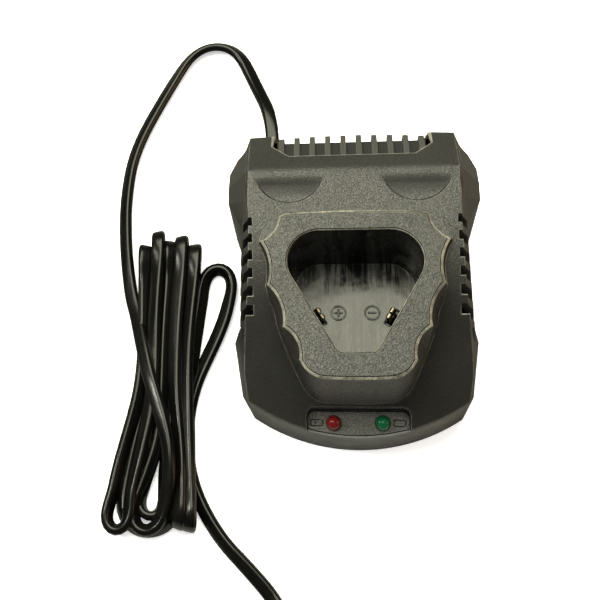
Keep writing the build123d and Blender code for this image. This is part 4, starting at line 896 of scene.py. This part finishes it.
def flat_frames(line, step):
    """For each point the cord's direction and the normal of its flat side: a flat cord bends the easy way,
    so the flat side turns to face the bend and lies down again where the cord runs straight."""
    up = Vector((0, 0, 1))
    frames, facing = [], up
    for i, point in enumerate(line):
        before, after = line[max(0, i - 1)], line[min(len(line) - 1, i + 1)]
        ahead = (after - before).normalized()
        wide_a, wide_b = line[max(0, i - 3)], line[min(len(line) - 1, i + 3)]
        bend = (wide_a + wide_b) / 2 - point
        bend -= ahead * bend.dot(ahead)
        facing = facing - ahead * facing.dot(ahead)
        level = up - ahead * up.dot(ahead)
        roll = lazy_roll(i * step, len(line) * step)
        level = level * math.cos(roll) + ahead.cross(level) * math.sin(roll)
        pull = level * math.copysign(LEVEL_PULL, level.dot(facing))
        turn = bend * math.copysign(BEND_PULL, bend.dot(facing))
        facing = (facing + pull + turn).normalized()
        frames.append((ahead, facing.copy()))
    return frames


def flat_section(width, thickness, corner):
    """Cross-section of the flat sheath: a band with round corners and slightly crowned sides."""
    outline = []
    for quarter in range(4):
        x_side = 1 if quarter in (0, 3) else -1
        y_side = 1 if quarter in (0, 1) else -1
        for i in range(5):
            angle = math.radians(90 * quarter + 22.5 * i)
            outline.append((x_side * (width / 2 - corner) + corner * math.cos(angle),
                            y_side * (thickness / 2 - corner) + corner * math.sin(angle)))
        if quarter in (0, 2):
            outline.append((0.0, y_side * (thickness / 2 + CROWN)))
    return outline


def tube_mesh(name, line, frames, outline):
    """A closed tube that carries a cross-section along a line."""
    rings = []
    for point, (ahead, facing) in zip(line, frames):
        across = ahead.cross(facing)
        rings.append([point + across * a + facing * b for a, b in outline])
    return ring_mesh(name, rings)


class CHARGER_OT_cord(bpy.types.Operator):
    """Lays the flat mains cord: out of the rear wall, through the loose hank and on to the plug"""

    bl_idname = "charger.lay_cord"
    bl_label = "Lay mains cord"

    def execute(self, context):
        cord = context.scene.charger_cord
        finish = context.scene.charger_finish
        line, length = even_points(cord_line(), cord.step)
        line, length = even_points(open_folds(line, length / (len(line) - 1)), cord.step)
        frames = flat_frames(line, cord.step)
        inner = CORD_WIDTH / 2 - cord.corner
        for point, (ahead, facing) in zip(line, frames):
            lift = (inner * abs(ahead.cross(facing).z) + (CORD_THICKNESS / 2 - cord.corner) * abs(facing.z)
                    + cord.corner)
            point.z = max(point.z, lift + CLEAR_OF_FLOOR)
        outline = flat_section(CORD_WIDTH, CORD_THICKNESS, cord.corner)
        sheath = moulded("cord_sheath", finish.cord_colour, 0.22, 0.0009, 0.00001, speckle=0.5, edge_wear_and_highlight=0.0, marks=0.10,
                         film=0.25, stretch=(1500, 260, 900), edge=0.0002, Specular_IOR_Level=0.22)
        mesh = tube_mesh("mains_cord", line, frames, outline)
        thing = mesh_object("mains_cord", mesh, sheath, "charger",
                            ("cord_lead", "cord_hank", "cord_tail"))
        return {"FINISHED"}


# ---------------------------------------------------------------- finishes of the carried-over nodes
class CHARGER_OT_shells(bpy.types.Operator):
    """Finishes the cover, tub, well, grille and lamp panel"""

    bl_idname = "charger.finish_shells"
    bl_label = "Finish shells"

    def execute(self, context):
        finish = context.scene.charger_finish
        # The cover's edges are made strongly pale, by rubbing and by a painted highlight.
        cover = moulded("spark_texture_cover", finish.cover_colour, 0.50, finish.grain_size, finish.grain_depth,
                        speckle=3.0, edge_wear_and_highlight=1.0, marks=0.1, film=0.25, edge=0.0006, patchy=0.15,
                        tones=(0.012, 0.06, 0.60))
        soft_crease(cover, 0.0050)
        painted_scoop_shade(cover)
        rim_wear_highlight_and_shade(cover, (0.20, 0.195, 0.158, 1))
        notch_wear_and_highlight(cover, (0.17, 0.165, 0.140, 1))
        tub = moulded("matt_tub", finish.tub_colour, 0.48, 0.0006, 0.00006, speckle=0.7,
                      edge_wear_and_highlight=0.4, marks=0.2, film=0.3)
        # Painted reflection of the floor on the low front skirt.
        painted_skirt_reflection(tub, tuple(finish.skirt_reflection_colour))
        well = moulded("glossy_well", finish.well_colour, 0.15, 0.0016, 0.00001, speckle=1.5, marks=0.8, film=1.0,
                       stretch=(520, 50, 160), edge=0.0005, patchy=0.07, tones=(0.05, 0.22, 0.10),
                       Specular_IOR_Level=0.29)
        slow_waves(well, 0.010, 0.0005)
        wiped_floor(well, (0.090, 0.090, 0.078, 1))
        panel = moulded("lamp_panel", finish.panel_colour, 0.46, 0.00065, 0.00022, speckle=3.0,
                        edge_wear_and_highlight=0.6, marks=0.1, film=0.2, stretch=(90, 1800, 900), edge=0.00012, patchy=0.14)
        grille = moulded("grille_black", lighter(finish.tub_colour, 0.045), 0.50, 0.0006, 0.00006, speckle=0.7,
                         edge_wear_and_highlight=0.8, marks=0.1, film=0.5)
        painted_recess_shade(panel)
        painted_shade_between_fins(grille)
        rubber = moulded("foot_rubber", (0.022, 0.022, 0.022, 1), 0.72, 0.0012, 0.00004, film=0.8)
        for node, material in (("upper_housing", cover), ("lower_housing", tub), ("socket_well", well),
                               ("indicator_panel", panel), ("vent_grille", grille), ("rubber_feet", rubber)):
            dress(node, material)
        return {"FINISHED"}


class CHARGER_OT_inside(bpy.types.Operator):
    """Finishes the board and every piece on it"""

    bl_idname = "charger.finish_inside"
    bl_label = "Finish inner pieces"

    def execute(self, context):
        for name, colour, roughness, grain, depth, speckle, stretch, nodes in INNER_MOULDINGS:
            material = moulded(name, (*colour, 1), roughness, grain, depth, speckle=speckle, stretch=stretch)
            for node in nodes:
                dress(node, material)
        copper = metal("enamelled_copper", (0.62, 0.26, 0.11, 1), 0.28, (300, 300, 2600))
        aluminium = metal("rolled_aluminium", (0.74, 0.75, 0.76, 1), 0.34, (2200, 60, 60),
                          tarnish=(0.5, 0.5, 0.5, 1))
        for node, material in (("line_choke", copper), ("output_inductor", copper), ("heat_sink", aluminium)):
            dress(node, material)
        return {"FINISHED"}


class CHARGER_OT_screws(bpy.types.Operator):
    """Drives the housing, board and clamp screws"""

    bl_idname = "charger.drive_screws"
    bl_label = "Drive screws"

    def execute(self, context):
        steel = metal("zinc_plate", (0.62, 0.62, 0.60, 1), 0.30, (900, 900, 200), tarnish=(0.40, 0.39, 0.36, 1))
        group = screw_group()
        for node, spots, seat, head, head_height, shank, length, upside in SCREW_SETS:
            mesh = screw_mesh(head * MM, head_height * MM, shank * MM, length * MM)
            pattern = put("screw_pattern", mesh)
            points = bpy.data.meshes.new("spots")
            points.from_pydata([(x * MM, y * MM, seat * MM) for x, y in spots], [], [])
            mesh = baked(node + "_set", points, group, {
                "Screw": pattern, "Upside down": 1.0 if upside else 0.0, "Seed": 5, "Material": steel})
            bpy.data.objects.remove(pattern)
            mesh.set_sharp_from_angle(angle=math.radians(40))
            mesh_object(node + "_set", mesh, steel, "charger", (node,))
        return {"FINISHED"}


class CHARGER_OT_lamps(bpy.types.Operator):
    """Finishes the red and green lamps"""

    bl_idname = "charger.finish_lamps"
    bl_label = "Finish lamps"

    def execute(self, context):
        finish = context.scene.charger_finish
        dress("red_led", lens("red_resin", finish.red_lens))
        dress("green_led", lens("green_resin", finish.green_lens))
        return {"FINISHED"}


class CHARGER_OT_contacts(bpy.types.Operator):
    """Forms the two sprung contacts: a leaf with two prongs that curl over at the top"""

    bl_idname = "charger.form_contacts"
    bl_label = "Form contacts"

    def execute(self, context):
        brass = metal("spring_brass", (0.17, 0.14, 0.10, 1), 0.30, (300, 300, 2400), tarnish=(0.045, 0.034, 0.022, 1),
                      film=0.6)
        for node, body in (("contact_positive", "positive_leaf"), ("contact_negative", "negative_leaf")):
            points = [v.co for v in NODES[node].data.vertices]
            foot_z = min(p.z for p in points)
            foot = [p for p in points if p.z < foot_z + LEAF_FOOT * MM]
            head = [p for p in points if p.z > foot_z + LEAF_HEAD * MM]
            middle = sum(foot, Vector()) / len(foot)
            lean = sum(head, Vector()) / len(head) - middle
            towards = Vector((lean.x, lean.y, 0)).normalized()
            across = Vector((-towards.y, towards.x, 0))
            corners, faces = [], []
            for path, low, high in LEAF_STRIPS:
                more, sides = strip_corners(path, low, high, LEAF_THICKNESS)
                faces += [tuple(index + len(corners) for index in face) for face in sides]
                corners += [middle + (towards * t + across * w + Vector((0, 0, z))) * MM for t, w, z in more]
            mesh = mesh_from(node + "_leaf", corners, faces)
            mesh.set_sharp_from_angle(angle=math.radians(35))
            mesh_object(node + "_leaf", mesh, brass, body, (node,))
        return {"FINISHED"}


class CHARGER_OT_plug(bpy.types.Operator):
    """Finishes the plug and its pins, and the strain relief with its ribs"""

    bl_idname = "charger.finish_plug"
    bl_label = "Finish plug"

    def execute(self, context):
        count = context.scene.charger_cord.relief_ribs
        moulding = moulded("plug_moulding", context.scene.charger_finish.cord_colour, 0.42, 0.0006, 0.00004,
                           Specular_IOR_Level=0.32)
        nickel = metal("nickel_plate", (0.74, 0.72, 0.67, 1), 0.18, (200, 2200, 200), tarnish=(0.5, 0.47, 0.4, 1))
        dress("plug_body", moulding)
        dress("cord_bushing", moulding)
        ribs = baked("relief_ribs", bpy.data.meshes.new("start"), rib_group(), {
            "Count": count, "Start": (CORD_EXIT[0], CORD_EXIT[1] - 9.6 * MM, CORD_EXIT[2]),
            "Step": (0, 9.0 * MM / (count - 1), 0), "Width": 8.2 * MM, "Height": 6.1 * MM, "Bead": 0.55 * MM,
            "Last scale": 0.84, "Material": moulding})
        mesh_object("relief_ribs", ribs, moulding, "charger")
        dress("plug_pins", nickel)
        return {"FINISHED"}


# ---------------------------------------------------------------- stage
def soft_light(name, place, target, size, power, colour):
    """A square soft light at a place, facing a target."""
    data = bpy.data.lights.new(name, "AREA")
    data.shape = "SQUARE"
    data.size = size
    data.energy = power
    data.color = colour
    thing = put(name, data)
    thing.location = place
    thing.rotation_euler = (Vector(target) - Vector(place)).to_track_quat("-Z", "Y").to_euler()
    return thing


class CHARGER_OT_stage(bpy.types.Operator):
    """Sets out the pale floor, the soft lights and the camera"""

    bl_idname = "charger.set_stage"
    bl_label = "Set stage"

    def execute(self, context):
        stage = context.scene.charger_stage
        work = bmesh.new()
        bmesh.ops.create_grid(work, x_segments=1, y_segments=1, size=3.0)
        mesh = bpy.data.meshes.new("floor")
        work.to_mesh(mesh)
        work.free()
        floor = put("floor", mesh)
        material, tree, shader = blank_material("pale_floor", tuple(stage.floor_colour), 0.8)
        at = Places(tree)
        paper = noise(tree, at.where, 900.0, 2.0)
        pale = blend_colours(tree, paper, scaled(stage.floor_colour, 0.98), tuple(stage.floor_colour))
        front = span(tree, at.y, -0.05, -0.085)
        bounce = blend_colours(tree, front, tuple(stage.bounce_colour), tuple(stage.front_colour))
        seen = tree.nodes.new("ShaderNodeLightPath").outputs["Is Camera Ray"]
        set_up(tree, shader, Base_Color=blend_colours(tree, seen, bounce, pale), Emission_Color=(1, 1, 1, 1),
               Emission_Strength=times(tree, seen, stage.floor_glow))
        mesh.materials.append(material)
        world = bpy.data.worlds.new("even_light")
        world.use_nodes = True
        set_up(world.node_tree, world.node_tree.nodes["Background"], Color=(1.0, 0.99, 0.97, 1),
               Strength=stage.surround)
        context.scene.world = world
        for name, place, target, size, power, colour in LIGHTS:
            light = soft_light(name, place, target, size, getattr(stage, power), colour)
            light.visible_glossy = name != "broad_fill"
        context.scene.view_settings.view_transform = "Standard"
        data = bpy.data.cameras.new("camera")
        data.sensor_width = 36.0
        data.lens = CAMERA_LENS
        data.shift_x, data.shift_y = CAMERA_SHIFT
        data.clip_start = 0.01
        camera = put("camera", data)
        right = Vector(CAMERA_RIGHT).normalized()
        back = Vector(CAMERA_BACK).normalized()
        up = back.cross(right).normalized()
        back = right.cross(up).normalized()
        turned = Matrix((right, up, back)).transposed().to_4x4()
        camera.matrix_world = Matrix.Translation(CAMERA_PLACE) @ turned
        context.scene.camera = camera
        return {"FINISHED"}


class CHARGER_PT_panel(bpy.types.Panel):
    """Lists the charger's settings and the pieces that can be made"""

    bl_idname = "CHARGER_PT_panel"
    bl_label = "Battery charger"
    bl_space_type = "VIEW_3D"
    bl_region_type = "UI"
    bl_category = "Charger"

    def draw(self, context):
        for settings in (context.scene.charger_finish, context.scene.charger_cord, context.scene.charger_stage):
            box = self.layout.box()
            for name in settings.__annotations__:
                box.prop(settings, name)
        for operator in OPERATORS:
            self.layout.operator(operator.bl_idname)


OPERATORS = (
    CHARGER_OT_stage, CHARGER_OT_cord, CHARGER_OT_shells, CHARGER_OT_inside, CHARGER_OT_screws, CHARGER_OT_lamps,
    CHARGER_OT_contacts, CHARGER_OT_plug,
)
SETTINGS = {"charger_finish": ChargerFinish, "charger_cord": ChargerCord, "charger_stage": ChargerStage}


def register():
    """Registers the settings, the operators and the panel."""
    for name, settings in SETTINGS.items():
        bpy.utils.register_class(settings)
        setattr(bpy.types.Scene, name, PointerProperty(type=settings))
    for operator in OPERATORS:
        bpy.utils.register_class(operator)
    bpy.utils.register_class(CHARGER_PT_panel)


def unregister():
    """Takes everything away again."""
    bpy.utils.unregister_class(CHARGER_PT_panel)
    for operator in reversed(OPERATORS):
        bpy.utils.unregister_class(operator)
    for name, settings in SETTINGS.items():
        delattr(bpy.types.Scene, name)
        bpy.utils.unregister_class(settings)


def main():
    """Builds the finished charger."""
    register()
    for operator in OPERATORS:
        family, action = operator.bl_idname.split(".")
        getattr(getattr(bpy.ops, family), action)()


if __name__ == "__main__":
    main()
